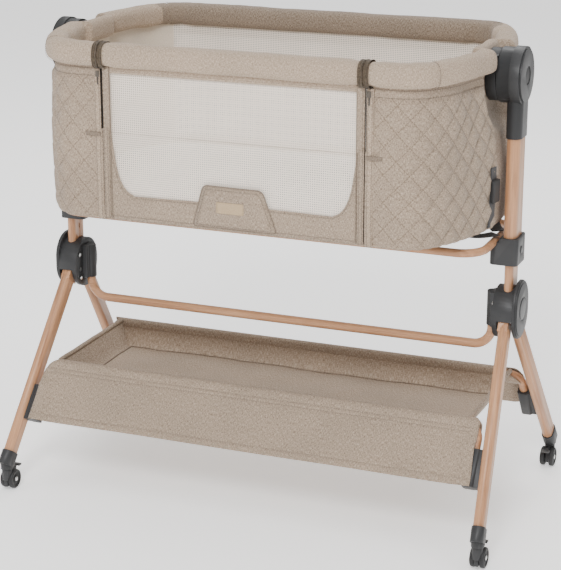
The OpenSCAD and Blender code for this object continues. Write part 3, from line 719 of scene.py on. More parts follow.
def quilted(name):
    """The linen again, with diagonal rows of dark stitch dashes that cross in diamonds; the dashes are
    darkened further as painted shade in the quilting grooves.
    """
    material = heather(name, linen, linen_light, linen_dark)
    tree = material.node_tree
    shader = tree.nodes["Principled BSDF"]
    flat = put(tree, "ShaderNodeUVMap", uv_map="weave").outputs["UV"]
    along, across = put(tree, "ShaderNodeSeparateXYZ", {0: flat}).outputs[:2]
    rows = [worked(tree, "MULTIPLY_ADD", across, way * quilt_slope, along) for way in (1, -1)]
    stitch_and_groove_shade_masks = []
    for this, other in (rows, rows[::-1]):
        turn = worked(tree, "FRACT", worked(tree, "DIVIDE", this, quilt_pitch))
        off = worked(tree, "ABSOLUTE", worked(tree, "SUBTRACT", turn, 0.5))
        line = worked(tree, "GREATER_THAN", off, 0.472)
        dash = worked(tree, "FRACT", worked(tree, "DIVIDE", other, 0.0075))
        stitch_and_groove_shade_masks.append(worked(tree, "MULTIPLY", line, worked(tree, "GREATER_THAN", dash, 0.25)))
    weave = shader.inputs["Base Color"].links[0].from_socket
    # Partly stitch thread, partly painted shade: the dashes are darkened to stand for the shade in the
    # grooves between the puffs.
    soft = worked(tree, "MULTIPLY", worked(tree, "MAXIMUM", *stitch_and_groove_shade_masks), 0.60)
    tree.links.new(mixed(tree, soft, weave, linen_dark), shader.inputs["Base Color"])
    return material


def net(name, thread, open_alpha, shut_alpha, pitch=0.0024):
    """A warp-knitted net: small six-sided holes between fine pale threads."""
    material, tree, shader = start_material(name, 0.7, Sheen_Weight=0.3)
    flat = put(tree, "ShaderNodeUVMap", uv_map="weave").outputs["UV"]
    cells = put(tree, "ShaderNodeTexVoronoi", {"Vector": flat, "Scale": 1 / pitch, "Randomness": 0.12},
                feature="DISTANCE_TO_EDGE", voronoi_dimensions="2D").outputs["Distance"]
    hole = put(tree, "ShaderNodeMapRange", {"Value": cells, "From Min": 0.17, "From Max": 0.27,
                                            "To Min": shut_alpha, "To Max": open_alpha}).outputs["Result"]
    clouds = put(tree, "ShaderNodeTexNoise", {"Vector": flat, "Scale": 14.0}).outputs["Fac"]
    tree.links.new(ramp(tree, clouds, [(0.3, toned(thread, 0.94)), (0.7, thread)]),
                   shader.inputs["Base Color"])
    tree.links.new(hole, shader.inputs["Alpha"])
    bump(tree, shader, cells, 0.3, 0.0004)
    return material


linen_quilted = quilted("quilted_linen")
mesh_front = net("window_net", (0.90, 0.80, 0.70), 0.16, 0.98, 0.0040)
mesh_back = net("back_net", (0.88, 0.80, 0.71), 0.36, 1.0, 0.0036)


def quilt(s, z):
    """Height of the wadding between crossing rows of stitches."""
    a = (s + z * quilt_slope) / quilt_pitch
    b = (s - z * quilt_slope) / quilt_pitch
    near = min(abs(a - round(a)), abs(b - round(b))) * 2
    return min(1.0, near * 2.0) ** 0.6


def tucked(z):
    """How far the turned-in bottom edge stands back from the wall."""
    u = min(max(1 - (z - wall_bottom) / hem_round, 0.0), 1.0)
    return 0.011 * (1 - math.sqrt(1 - u * u))


def belly(z):
    """How far the wall bellies out between its foot and the rim."""
    return 0.0035 * math.sin(math.pi * min(max((z - wall_bottom) / 0.26, 0), 1))


def banded(z):
    """Depth of the two seams under the rim."""
    return sum(0.0016 * math.exp(-((z - line) / 0.0016) ** 2) for line in band_seams)


wall_run = plan_run(wall_high[0] - 0.001, wall_high[1] - 0.001, 0.069, drop_half + 0.0125, 0.0040)
wall_rows = 78
total = wall_run[-1][4]
heights = [wall_top + (wall_bottom - wall_top) * j / (wall_rows - 1) for j in range(wall_rows)]
vertices, places = [], []
for x, y, nx, ny, s in wall_run:
    from_zip = min(s, total - s)
    across_end = smooth_step(plain_end - 0.006, plain_end + 0.006, abs(y)) if abs(x) > end_from else 1
    in_quilt = smooth_step(0.004, 0.016, from_zip) * across_end
    in_quilt *= 1 - (1 - smooth_step(back_window, back_window + 0.02, abs(x))) * (y > 0)
    seam = math.exp(-((abs(y) - plain_end) / 0.0018) ** 2) if abs(x) > end_from else 0
    for z in heights:
        below = smooth_step(0.0, 0.012, band_seams[1] - z)
        puff = quilt_rise * in_quilt * below * quilt(s, z) * (0.40 + 0.60 * smooth_step(0.0, 0.12, from_zip))
        ripple = 0.0014 * wave(x, y, z, 0.10, 1.7) + 0.0006 * wave(x, y, z, 0.024, 4.0)
        out = puff + belly(z) + ripple - 0.0015 * seam - banded(z) - tucked(z)
        px, py = x + nx * out, y + ny * out
        vertices.append((beside_hub(px, py, z, hub_reach, 0.003), py, z))
        places.append((s, z))
wall_cloth = new_piece("quilted_wall", vertices, grid_faces(len(wall_run), wall_rows))
for material in (cloth, linen_quilted, mesh_back):
    wall_cloth.data.materials.append(material)
cloth_map(wall_cloth, places)
for face in wall_cloth.data.polygons:
    x, y, z = face.center
    if y > back_from and abs(x) < back_window and window_floor < z < band_seams[1] - 0.004:
        face.material_index = 2
    elif z < band_seams[1] and abs(y) > plain_end and not (y > back_from and abs(x) < back_window):
        face.material_index = 1
belongs(wall_cloth, "bassinet", "bassinet_wall")

lining_run = plan_run(wall_high[0] - 0.007, wall_high[1] - 0.007, 0.063, drop_half + 0.001, 0.008)
vertices, places = [], []
for x, y, nx, ny, s in lining_run:
    for j in range(30):
        z = wall_top + (wall_bottom + 0.010 - wall_top) * j / 29
        out = 0.0012 * wave(x, y, z, 0.12, 3.1) - tucked(z)
        px, py = x + nx * out, y + ny * out
        inner = beside_hub(px + nx * 0.004, py, z, hub_reach, 0.003)
        inner -= math.copysign(0.005 * smooth_step(0.30, 0.34, abs(px)), px)
        vertices.append((inner, py, z))
        places.append((s, z))
lining = new_piece("wall_lining", vertices, grid_faces(len(lining_run), 30, flip=True))
for material in (cloth_cream, mesh_back):
    lining.data.materials.append(material)
cloth_map(lining, places)
for face in lining.data.polygons:
    x, y, z = face.center
    if y > back_from and abs(x) < back_window and window_floor < z:
        face.material_index = 1
belongs(lining, "bassinet")


def on_wall(z, out=0.0006, step=1, keep=lambda p: True):
    line = []
    for x, y, nx, ny, s in wall_run[::step]:
        o = out + belly(z) - tucked(z)
        px, py = x + nx * o, y + ny * o
        if keep((px, py)):
            line.append((beside_hub(px, py, z, hub_reach, 0.0025), py, z))
    return line


stitched("band_stitches", [on_wall(z + d) for z, d in zip(band_seams, (0.0022, -0.0022))], "bassinet")

# The front sill under the drop side, and a stiff base panel behind the turned-in edge.
front_y = -wall_high[1]
sill_rows = 7
vertices, places = [], []
sill_columns = 120
for i in range(sill_columns + 1):
    x = (drop_half + 0.014) * (2 * i / sill_columns - 1)
    for j in range(sill_rows):
        z = wall_bottom + 0.0055 * j / (sill_rows - 1)
        vertices.append((x, front_y + 0.001 + tucked(z), z))
        places.append((x, z))
sill = new_piece("front_sill", vertices, grid_faces(sill_columns + 1, sill_rows, flip=True))
sill.data.materials.append(cloth)
cloth_map(sill, places)
belongs(sill, "bassinet")

board = mottled("base_board", 0.75, 260.0, 4.0, (0.25, 0.235, 0.215), (0.38, 0.36, 0.33), 0.3, 0.0003)
base_run = plan_run(wall_high[0] - 0.013, wall_high[1] - 0.013, 0.057, 0.0, 0.012)
outline = [(p[0], p[1]) for p in base_run]
outline = outline[:-1] if math.dist(outline[0], outline[-1]) < 0.004 else outline
n = len(outline)
rings = [(0.0015, wall_bottom + 0.0002), (0.0, wall_bottom + 0.0016), (0.0, wall_bottom + 0.0056),
         (0.0015, wall_bottom + 0.0069)]
vertices = [(x * (1 - 2 * d), y * (1 - 3 * d), z) for d, z in rings for x, y in outline]
faces = [(k * n + i, k * n + (i + 1) % n, (k + 1) * n + (i + 1) % n, (k + 1) * n + i)
         for k in range(3) for i in range(n)]
faces += [tuple(reversed(range(n))), tuple(range(3 * n, 4 * n))]
base = new_piece("base_panel", vertices, faces, smooth=False)
face_outward(base)
base.data.materials.append(board)
belongs(base, "bassinet", "floor_board")


def round_cord(name, path, radius, sides=8, closed=False):
    """A thin round tube through the points of path, for piping and wire."""
    points = [Vector(p) for p in path]
    vertices, places = [], []
    run = 0.0
    lift = Vector((0, 0, 1))
    for i, p in enumerate(points):
        ahead = points[min(i + 1, len(points) - 1)] - points[max(i - 1, 0)]
        if closed:
            ahead = points[(i + 1) % len(points)] - points[i - 1]
        ahead.normalize()
        side = ahead.cross(lift)
        side = side.normalized() if side.length > 0.1 else ahead.cross(Vector((0, 1, 0))).normalized()
        up = side.cross(ahead).normalized()
        run += (p - points[i - 1]).length if i else 0.0
        for k in range(sides):
            a = 2 * math.pi * k / sides
            vertices.append(p + radius * (math.cos(a) * side + math.sin(a) * up))
            places.append((run, radius * a))
    faces = grid_faces(len(points), sides, closed_rows=True, closed_columns=closed)
    if not closed:
        faces += end_faces(len(points), sides)
    piece = new_piece(name, vertices, faces)
    face_outward(piece)
    cloth_map(piece, places)
    return piece


hem_path = [(x, y, z + 0.001) for x, y, z in on_wall(wall_bottom + 0.0045, 0.0004, 2)]
piping = round_cord("hem_piping", hem_path, 0.0018)
piping.data.materials.append(cloth_rim)
belongs(piping, "bassinet")

# ---------------------------------------------------------------------------
# Mattress
# Foam in a quilted ivory cover, crowned on top and pulled in at its edge. It
# lies loose on the base panel. The swelling is simulated as pressed cloth.
# ---------------------------------------------------------------------------
mat_low, mat_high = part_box("mattress")
cover, tree, shader = start_material("mattress_cover", 0.85, Sheen_Weight=0.3)
place = put(tree, "ShaderNodeTexCoord").outputs["Object"]
knit = put(tree, "ShaderNodeTexVoronoi", {"Vector": place, "Scale": 420.0}).outputs["Distance"]
cloud = put(tree, "ShaderNodeTexNoise", {"Vector": place, "Scale": 12.0}).outputs["Fac"]
tree.links.new(ramp(tree, cloud, [(0.3, (0.70, 0.66, 0.61)), (0.7, (0.80, 0.76, 0.71))]),
               shader.inputs["Base Color"])
bump(tree, shader, knit, 0.4, 0.0006)
pad_run = plan_run(mat_high[0] - 0.004, mat_high[1] - 0.004, 0.054, 0.0, 0.010)
outline = [(p[0], p[1], p[2], p[3]) for p in pad_run][:-1]
n = len(outline)
profile = [(0.40, 0.0), (0.016, 0.0), (0.005, 0.002), (0.0, 0.009), (0.0, 0.024), (0.006, 0.031),
           (0.018, 0.0335), (0.40, 0.0345)]
vertices, faces = [], []
for x, y, nx, ny in outline:
    for back, rise in profile:
        if back > 0.1:
            vertices.append((x * 0.5, y * 0.5, mat_low[2] + 0.0008 + rise))
        else:
            vertices.append((x - nx * back, y - ny * back, mat_low[2] + 0.0008 + rise))
rows = len(profile)
faces = grid_faces(n, rows, closed_columns=True, flip=True)
faces += [tuple(i * rows for i in reversed(range(n))), tuple(i * rows + rows - 1 for i in range(n))]
mattress = new_piece("mattress_pad", vertices, faces)
face_outward(mattress)

remesh = mattress.modifiers.new("even", "REMESH")
remesh.mode = "VOXEL"
remesh.voxel_size = 0.006
remesh.use_smooth_shade = True
plain_mesh(mattress)
rest_points = [v.co.copy() for v in mattress.data.vertices]
swell = mattress.modifiers.new("swell", "CLOTH")
swell.settings.use_pressure = True
swell.settings.uniform_pressure_force = 4.0
swell.settings.tension_stiffness = 20
swell.settings.bending_stiffness = 2
swell.settings.effector_weights.gravity = 0
for step in range(1, 16):
    bpy.context.scene.frame_set(step)
plain_mesh(mattress)
bpy.context.scene.frame_set(1)
for vertex, rest in zip(mattress.data.vertices, rest_points):
    moved = vertex.co - rest
    moved = moved * min(1.0, 0.005 / max(moved.length, 1e-9))
    vertex.co = rest + moved
for vertex in mattress.data.vertices:
    x, y, z = vertex.co
    if z > mat_low[2] + 0.020:
        a, b = x / 0.085, y / 0.085
        button = min(abs(a - round(a)), abs(b - round(b)))
        vertex.co.z -= 0.0022 * math.exp(-(button / 0.06) ** 2)
    vertex.co.z = min(max(vertex.co.z, mat_low[2] + 0.0004), mat_high[2] + 0.003)
    vertex.co.x = min(max(vertex.co.x, mat_low[0] - 0.002), mat_high[0] + 0.002)
    vertex.co.y = min(max(vertex.co.y, mat_low[1] - 0.002), mat_high[1] + 0.002)
mattress.data.polygons.foreach_set("use_smooth", [True] * len(mattress.data.polygons))
mattress.data.materials.append(cover)
belongs(mattress, "bassinet", "mattress")

# ---------------------------------------------------------------------------
# Padded rim
# A linen sleeve over foam on a steel frame. It is round-shouldered, creases a
# little at the corners, is squeezed beside each swing hub and is cut at the
# drop side, whose own length of rim closes the oval.
# ---------------------------------------------------------------------------
rim_mid_z = (rim_low[2] + rim_high[2]) / 2
rim_half_h = (rim_high[2] - rim_low[2]) / 2
rim_half_w = 0.021
rim_sides = 36
rim_seams = ((0.372, -1), (-0.372, -1), (0.358, 1), (-0.358, 1))


def rim_section(k, width, height, roundness=2.7):
    a = 2 * math.pi * k / rim_sides
    c, s = math.cos(a), math.sin(a)
    grow = (abs(c) ** roundness + abs(s) ** roundness) ** (-1 / roundness)
    return width * c * grow, height * s * grow


def rim_sleeve(name, line, body, node, end_pinch):
    vertices, places = [], []
    length = line[-1][4]
    for x, y, nx, ny, s in line:
        from_end = min(s, length - s)
        pinch = 1 - end_pinch * (1 - smooth_step(0.012, 0.030, from_end))
        round_end = math.sqrt(max(1 - (1 - min(from_end / 0.005, 1)) ** 2, 0.03))
        inward = 0.35 * drawn_in(y, swing_z) * (abs(x) > end_from)
        outer = beside_hub(x, y, swing_z, 0.016, 0.001, 0.35) if abs(x) > end_from else x
        squeeze = abs(x) - inward - abs(outer)
        corner = smooth_step(0.25, 0.30, abs(x)) * (0.35 + 0.65 * smooth_step(0.1, 0.16, abs(y)))
        seam = sum(math.exp(-((x - mark) / 0.0022) ** 2) for mark, side in rim_seams if side * y > 0.1)
        for k in range(rim_sides):
            out, up = rim_section(k, rim_half_w * pinch, (rim_half_h - 0.0006) * pinch)
            crease = 0.0011 * corner * math.sin(s / 0.0125 + 2.5 * wave(x, y, up, 0.05, 6.0))
            crease *= max(0, 0.4 - out / rim_half_w)
            puff = 0.0016 * wave(x, y, up, 0.075, 2.2) + 0.0006 * wave(x, y, up, 0.02, 8.0)
            puff += crease - 0.0018 * seam
            size = math.hypot(out, up)
            swell = (1 + puff / size) * (0.55 + 0.45 * round_end)
            out, up = out * swell, up * swell
            away = out - rim_half_w
            px, py = x + nx * away, y + ny * away
            px -= math.copysign(inward, px)
            if squeeze > 0:
                share = (out + rim_half_w) / (2 * rim_half_w)
                px -= math.copysign(squeeze * (0.42 + 0.58 * share), px)
            low = smooth_step(-0.2, -0.9, up / rim_half_h)
            vertices.append((px, py, rim_mid_z + up + 0.002 * low))
            places.append((s, math.atan2(up, out) * 0.026))
    faces = grid_faces(len(line), rim_sides, closed_rows=True, flip=True)
    faces += end_faces(len(line), rim_sides)
    sleeve = new_piece(name, vertices, faces)
    face_outward(sleeve)
    sleeve.data.materials.append(cloth_rim)
    sleeve.data.materials.append(cloth_shade)
    for face in sleeve.data.polygons:
        if face.center.y > back_from and abs(face.center.x) < 0.356:
            face.material_index = 1
    seams = sleeve.data.uv_layers.new(name="weave")
    for face in sleeve.data.polygons:
        around = [places[v][1] for v in face.vertices]
        for corner_index, v in zip(face.loop_indices, face.vertices):
            along, turn = places[v]
            if max(around) - min(around) > 0.08 and turn < 0:
                turn += 2 * math.pi * 0.026
            seams.data[corner_index].uv = (along, turn)
    belongs(sleeve, body, node)
    return sleeve


rim_run = plan_run(rim_high[0], rim_high[1], 0.085, drop_half + 0.0014, 0.0040)
rim_sleeve("rim_sleeve", rim_run, "bassinet", "rim_pad", 0.07)
drop_run = [(-drop_half + 0.0004 + (2 * drop_half - 0.0008) * i / 124, -rim_high[1], 0.0, -1.0,
             (2 * drop_half - 0.0008) * i / 124) for i in range(125)]
rim_sleeve("drop_rim_sleeve", drop_run, "drop_side", "drop_rim", 0.07)
frame_black = moulded_plastic("black_painted_steel", (0.030, 0.030, 0.031), (0.07, 0.07, 0.071), 0.4)
dress("rim_frame", frame_black, 0.0005)
for number, (mark, side) in enumerate(rim_seams):
    here = min(rim_run, key=lambda p: abs(p[0] - mark) + 10 * (side * p[1] < 0.1))
    x, y, nx, ny, s = here
    loop = []
    for k in range(-9, 10):
        out, up = rim_section(k + rim_sides, rim_half_w + 0.0002, rim_half_h - 0.0002)
        loop.append((x + nx * (out - rim_half_w), y + ny * (out - rim_half_w), rim_mid_z + up))
    stitched("rim_seam_" + str(number + 1), [loop], "bassinet", pitch=0.0036)

# ---------------------------------------------------------------------------
# End webbing, buckles and ring ties
# Black ribbed polypropylene webbing sewn down each end and clipped with small
# side-release buckles; webbing tabs tie the base to the ends of the support ring.
# ---------------------------------------------------------------------------
webbing, tree, shader = start_material("black_webbing", 0.75, Sheen_Weight=0.2)
flat = put(tree, "ShaderNodeUVMap", uv_map="weave").outputs["UV"]
ribs = put(tree, "ShaderNodeTexWave", {"Vector": flat, "Scale": 190.0, "Distortion": 0.4},
           bands_direction="Y").outputs["Fac"]
dust = put(tree, "ShaderNodeTexNoise", {"Vector": flat, "Scale": 300.0, "Detail": 3.0}).outputs["Fac"]
tree.links.new(mixed(tree, dust, (0.014, 0.014, 0.015), (0.045, 0.045, 0.047)), shader.inputs["Base Color"])
bump(tree, shader, ribs, 0.6, 0.0006)


def band(name, line, across, thickness, material, columns=7, body="bassinet", slot_name="webbing"):
    """A flat strap: line is its centre and across its half-width vector at each point."""
    vertices, places = [], []
    run = 0.0
    for i, p in enumerate(line):
        ahead = (line[min(i + 1, len(line) - 1)] - line[max(i - 1, 0)]).normalized()
        run += (p - line[i - 1]).length if i else 0.0
        side = across[i] if isinstance(across, list) else across
        normal = side.normalized().cross(ahead).normalized()
        for k in range(columns):
            f = 2 * k / (columns - 1) - 1
            edge = 1 - 0.4 * abs(f) ** 6
            vertices.append(p + side * f + normal * thickness * 0.5 * edge)
            places.append((side.length * f, run))
        for k in reversed(range(columns)):
            f = 2 * k / (columns - 1) - 1
            edge = 1 - 0.4 * abs(f) ** 6
            vertices.append(p + side * f - normal * thickness * 0.5 * edge)
            places.append((side.length * f, run))
    faces = grid_faces(len(line), 2 * columns, closed_rows=True)
    faces += end_faces(len(line), 2 * columns)
    piece = new_piece(name, vertices, faces)
    face_outward(piece)
    cloth_map(piece, places)
    piece.data.materials.append(material)
    if body:
        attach(piece, body)
    return piece


def wall_at(y, z, side, out):
    ends = [p for p in wall_run if p[0] * side >= 0 and abs(p[0]) >= end_from]
    x, py, nx, ny, s = min(ends, key=lambda p: abs(p[1] - y))
    o = out + belly(z) - tucked(z)
    px, py = x + nx * o, py + ny * o
    return Vector((beside_hub(px, py, z, hub_reach, 0.0005), py, z)), Vector((-ny, nx, 0))


strap_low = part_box("end_straps")[0]
buckle_low, buckle_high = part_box("strap_buckles")
buckle_y = (buckle_high[1] + abs(buckle_low[1])) / 2 - 0.0142
straps = []
for side in (-1, 1):
    for end in (-1, 1):
        line, across = [], []
        for i in range(40):
            z = strap_low[2] + (buckle_high[2] + 0.022 - strap_low[2]) * i / 39
            p, turn = wall_at(end * buckle_y, z, side, 0.0040)
            line.append(p)
            across.append(turn * 0.012)
        straps.append(band("strap", line, across, 0.0016, webbing, body=None))
strap_piece = joined("end_webbing", straps)
belongs(strap_piece, "bassinet", "end_straps")
dress("strap_buckles", plastic_dark, 0.0016, 3)

ring_low, ring_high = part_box("support_ring")
ring_end = ring_high[0] - 0.0075
ring_mid = (ring_low[2] + ring_high[2]) / 2
for side, label in ((-1, "left"), (1, "right")):
    ties = []
    for fb in (-1, 1):
        path = [Vector((side * x, fb * y, z)) for x, y, z in (
            (0.338, 0.130, wall_bottom - 0.0010), (0.356, 0.112, wall_bottom - 0.0016),
            (0.374, 0.090, wall_bottom - 0.0050), (0.390, 0.062, ring_mid + 0.0180),
            (0.403, 0.034, ring_mid + 0.0135), (ring_end, 0.010, ring_mid + 0.0125))]
        smooth = []
        for i in range(len(path) - 1):
            a, b, c, d = path[max(i - 1, 0)], path[i], path[i + 1], path[min(i + 2, len(path) - 1)]
            for t in [k / 6 for k in range(6)]:
                smooth.append(0.5 * ((2 * b) + (c - a) * t + (2 * a - 5 * b + 4 * c - d) * t * t
                                     + (3 * b - a - 3 * c + d) * t ** 3))
        smooth.append(path[-1])
        ties.append(band("tie", smooth, Vector((side * 0.0105, fb * 0.0075, 0)), 0.0016, webbing, body=None))
    tie = joined("ring_tie_" + label, ties)
    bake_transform(tie)

# ---------------------------------------------------------------------------
# Drop side
# A linen frame round a net window, hinged along its foot. Its rim is the
# separate sleeve above. A shaped patch with a blank woven tag is sewn on below
# the window.
# ---------------------------------------------------------------------------
panel_top = rim_low[2] + 0.010
panel_bottom = drop_low[2]
window_foot = wall_bottom + 0.0515
window_foot_half = 0.190
window_bend = wall_bottom + 0.092
window_bend_half = 0.2215
window_shoulder = wall_bottom + 0.163
window_half = 0.2335


def window_outline(grow=0.0):
    """Right half of the window's edge, from the middle of its foot up to the rim."""
    path = [(window_foot_half * i / 40, window_foot - grow + 0.0012 * math.cos(i / 14)) for i in range(41)]
    corner = [(window_foot_half, window_foot - grow),
              (window_bend_half - 0.010 + grow, window_foot + 0.004 - grow),
              (window_bend_half + grow, window_bend)]
    for i in range(1, 17):
        t = i / 16
        path.append(tuple((1 - t) ** 2 * corner[0][k] + 2 * t * (1 - t) * corner[1][k] + t * t * corner[2][k]
                          for k in (0, 1)))
    for i in range(1, 17):
        t = i / 16
        out = window_bend_half + grow + (window_half - window_bend_half) * t ** 0.8
        path.append((out, window_bend + (window_shoulder - window_bend) * t))
    for i in range(1, 13):
        rise = (panel_top - window_shoulder) * i / 12
        path.append((window_half + grow + 0.001 * i / 12, window_shoulder + rise))
    return path


def panel_y(x, z):
    """The cloth bellies a little and wrinkles where the patch pulls on it."""
    near_patch = math.exp(-((abs(x) - 0.10) / 0.05) ** 2) * math.exp(-((z - wall_bottom - 0.04) / 0.03) ** 2)
    return (front_y - 0.0008 + 0.0009 * wave(x, 0, z, 0.06, 5.0) + 0.0005 * wave(x, 0, z, 0.018, 2.0)
            - 0.0012 * near_patch * math.sin(x / 0.011) + tucked(z))


inner_edge = window_outline()
frame_points, frame_places = [], []
frame_rows = 18
side_foot = panel_bottom + 0.050
foot_flare = 0.12
whole_edge = [(-x, z) for x, z in reversed(inner_edge)] + inner_edge[1:]
outer_half = drop_half - 0.0012
columns = []
for x, z in whole_edge:
    if abs(x) < window_foot_half and z < window_foot + 0.004:
        ox, oz = x * (1 + foot_flare * (abs(x) / window_foot_half) ** 3), panel_bottom
    elif z > window_bend:
        ox = math.copysign(outer_half, x)
        oz = side_foot + (z - window_bend) * (panel_top - side_foot) / (panel_top - window_bend)
    else:
        start = window_foot_half * (1 + foot_flare)
        round_corner = (z - window_foot) / (window_bend - window_foot) * (outer_half - start + 0.050)
        ox = math.copysign(start + min(round_corner, outer_half - start), x)
        oz = panel_bottom + max(0.0, round_corner - (outer_half - start))
    columns.append(((x, z), (ox, oz)))
for (x, z), (ox, oz) in columns:
    for j in range(frame_rows):
        t = j / (frame_rows - 1)
        px, pz = x + (ox - x) * t, z + (oz - z) * t
        step = 0.0016 * smooth_step(0.0, 0.006, math.hypot(px - x, pz - z))
        frame_points.append((px, panel_y(px, pz) + 0.0014 - step, pz))
        frame_places.append((px, pz))
panel = new_piece("drop_panel_cloth", frame_points, grid_faces(len(columns), frame_rows))
face_outward(panel, -1)
cloth_map(panel, frame_places)
panel.data.materials.append(cloth)
thickened(panel, 0.0014, -1)
belongs(panel, "drop_side", "drop_panel")

vertices, places = [], []
net_columns, net_rows = 96, 48
for i in range(net_columns + 1):
    for j in range(net_rows + 1):
        x = 0.240 * (2 * i / net_columns - 1)
        z = window_foot - 0.006 + (panel_top - window_foot + 0.006) * j / net_rows
        vertices.append((x, front_y + 0.0036 + 0.0012 * wave(x, 0, z, 0.12, 9.0), z))
        places.append((x, z))
window = new_piece("net_window", vertices, grid_faces(net_columns + 1, net_rows + 1, flip=True))
edge_at = sorted(window_outline(0.004), key=lambda p: p[1])
work = bmesh.new()
work.from_mesh(window.data)
outside = []
for v in work.verts:
    limit = max((p[0] for p in edge_at if p[1] <= v.co.z), default=0.0)
    if abs(v.co.x) > limit + 0.003:
        outside.append(v)
bmesh.ops.delete(work, geom=outside, context="VERTS")
work.to_mesh(window.data)
work.free()
layer = window.data.uv_layers.new(name="weave")
for loop in window.data.loops:
    co = window.data.vertices[loop.vertex_index].co
    layer.data[loop.index].uv = (co.x, co.z)
window.data.materials.append(mesh_front)
belongs(window, "drop_side", "mesh_window")


def on_panel(points, lift=0.0012):
    return [(x, panel_y(x, z) - lift, z) for x, z in points]


mid_seam = [(window_half * (i / 80 - 1), window_foot + 0.112) for i in range(161)]
stitched("window_seam", [[(x, front_y + 0.0030, z) for x, z in mid_seam]], "drop_side",
         thread_light)
edge_line = window_outline(0.0035)
edge_line = [(-x, z) for x, z in reversed(edge_line)] + edge_line[1:]
hem_line = [(-outer_half + 2 * outer_half * i / 120, rim_low[2] - 0.004) for i in range(121)]
sill_line = [(-outer_half + 2 * outer_half * i / 120, panel_bottom + 0.005) for i in range(121)]
stitched("panel_stitches", [on_panel(edge_line, 0.0006), on_panel(sill_line, 0.0006),
                            [(x, front_y - 0.0012, z) for x, z in hem_line]], "drop_side")
head_band = [Vector((x, front_y - 0.0004, rim_low[2] - 0.001)) for x, z in hem_line]
band("window_head_band", head_band, Vector((0, 0, 0.0075)), 0.0020, cloth_rim, body="drop_side",
     slot_name="linen_fabric")


def plate(name, outline, centre, lift, thick, material, body, rings=5, crown=0.0):
    """A sewn-on patch: a soft plate that follows the panel, with a rounded edge."""
    cx, cz = centre
    vertices, places = [], []
    n = len(outline)
    for k in range(rings + 1):
        f = 1 - k / rings
        for x, z in outline:
            px, pz = cx + (x - cx) * f, cz + (z - cz) * f
            rise = thick * min(1, k) + crown * (1 - f * f)
            vertices.append((px, panel_y(px, pz) - lift - rise, pz))
            places.append((px, pz))
    faces = grid_faces(rings + 1, n, closed_rows=True)
    for x, z in outline:
        vertices.append((x, panel_y(x, z) + 0.0002, z))
        places.append((x, z))
    last = (rings + 1) * n
    faces += [(i, (i + 1) % n, last + (i + 1) % n, last + i) for i in range(n)]
    piece = new_piece(name, vertices, faces)
    face_outward(piece, -1)
    cloth_map(piece, places)
    piece.data.materials.append(material)
    belongs(piece, body)
    return piece


def rounded_outline(corners, radius, steps=7, spacing=0.004):
    points = []
    n = len(corners)
    for i, corner in enumerate(corners):
        before, here, after = Vector(corners[i - 1]), Vector(corner), Vector(corners[(i + 1) % n])
        a, b = (before - here).normalized(), (after - here).normalized()
        start, stop = here + a * radius, here + b * radius
        for k in range(steps + 1):
            t = k / steps
            points.append(start * (1 - t) ** 2 + here * 2 * t * (1 - t) + stop * t * t)
    dense = []
    for i, p in enumerate(points):
        q = points[(i + 1) % len(points)]
        parts = max(1, int((q - p).length / spacing))
        dense += [tuple(p.lerp(q, k / parts)) for k in range(parts)]
    return dense


patch_foot = panel_bottom + 0.002
patch_head = wall_bottom + 0.0845
patch_corners = [(-0.053, patch_head), (0.060, patch_head - 0.001), (0.088, patch_foot), (-0.074, patch_foot)]
patch_outline = rounded_outline(patch_corners, 0.010)
plate("front_patch", patch_outline, (0.005, wall_bottom + 0.045), 0.0012, 0.0022, cloth, "drop_side",
      crown=0.0012)
inner = rounded_outline([(-0.048, patch_head - 0.006), (0.055, patch_head - 0.007),
                         (0.080, patch_foot + 0.004), (-0.066, patch_foot + 0.004)], 0.008, spacing=0.006)
stitched("patch_stitches", [on_panel(inner + inner[:1], 0.0040)], "drop_side")
edge = round_cord("patch_edge", on_panel(patch_outline, 0.0013), 0.0011, closed=True)
edge.data.materials.append(binding)
belongs(edge, "drop_side")

tag_frame = mottled("umber_tag_edge", 0.42, 600.0, 3.0, (0.13, 0.090, 0.052), (0.20, 0.145, 0.090),
                    0.3, 0.0002, Coat_Weight=0.3)
tag_face = mottled("tan_tag_face", 0.6, 700.0, 4.0, (0.40, 0.285, 0.165), (0.50, 0.37, 0.225), 0.4, 0.0003)
tag_low, tag_high = wall_bottom + 0.034, wall_bottom + 0.0595
tag = rounded_outline([(-0.0295, tag_high), (0.0285, tag_high), (0.0285, tag_low), (-0.0295, tag_low)], 0.004)
tag_mid = (0, (tag_low + tag_high) / 2)
plate("blank_tag_edge", tag, tag_mid, 0.0036, 0.0012, tag_frame, "drop_side")
face = rounded_outline([(-0.0270, tag_high - 0.0025), (0.0260, tag_high - 0.0025), (0.0260, tag_low + 0.0025),
                        (-0.0270, tag_low + 0.0025)], 0.003)
plate("blank_tag_face", face, tag_mid, 0.0049, 0.0004, tag_face, "drop_side")

# ---------------------------------------------------------------------------
# Zips, bindings, wraps and pull tabs
# A coil zip closes each side of the drop panel. Dark tapes show above the
# pull tabs; doubled binding strips cover the rest down to the hem, and ribbed
# elastic wraps the two ends of rim where they meet.
# ---------------------------------------------------------------------------
zip_metal = moulded_plastic("dark_zip_metal", (0.030, 0.024, 0.018), (0.10, 0.085, 0.07), 0.35)
zip_open_z = wall_bottom + 0.168
zip_brown, tree, shader = start_material("zip_tape", 0.7)
flat = put(tree, "ShaderNodeUVMap", uv_map="weave").outputs["UV"]
twill = put(tree, "ShaderNodeTexWave", {"Vector": flat, "Scale": 420.0, "Distortion": 0.5}).outputs["Fac"]
tree.links.new(ramp(tree, twill, [(0.2, (0.016, 0.011, 0.007)), (0.8, (0.038, 0.027, 0.017))]),
               shader.inputs["Base Color"])
bump(tree, shader, twill, 0.4, 0.0003)


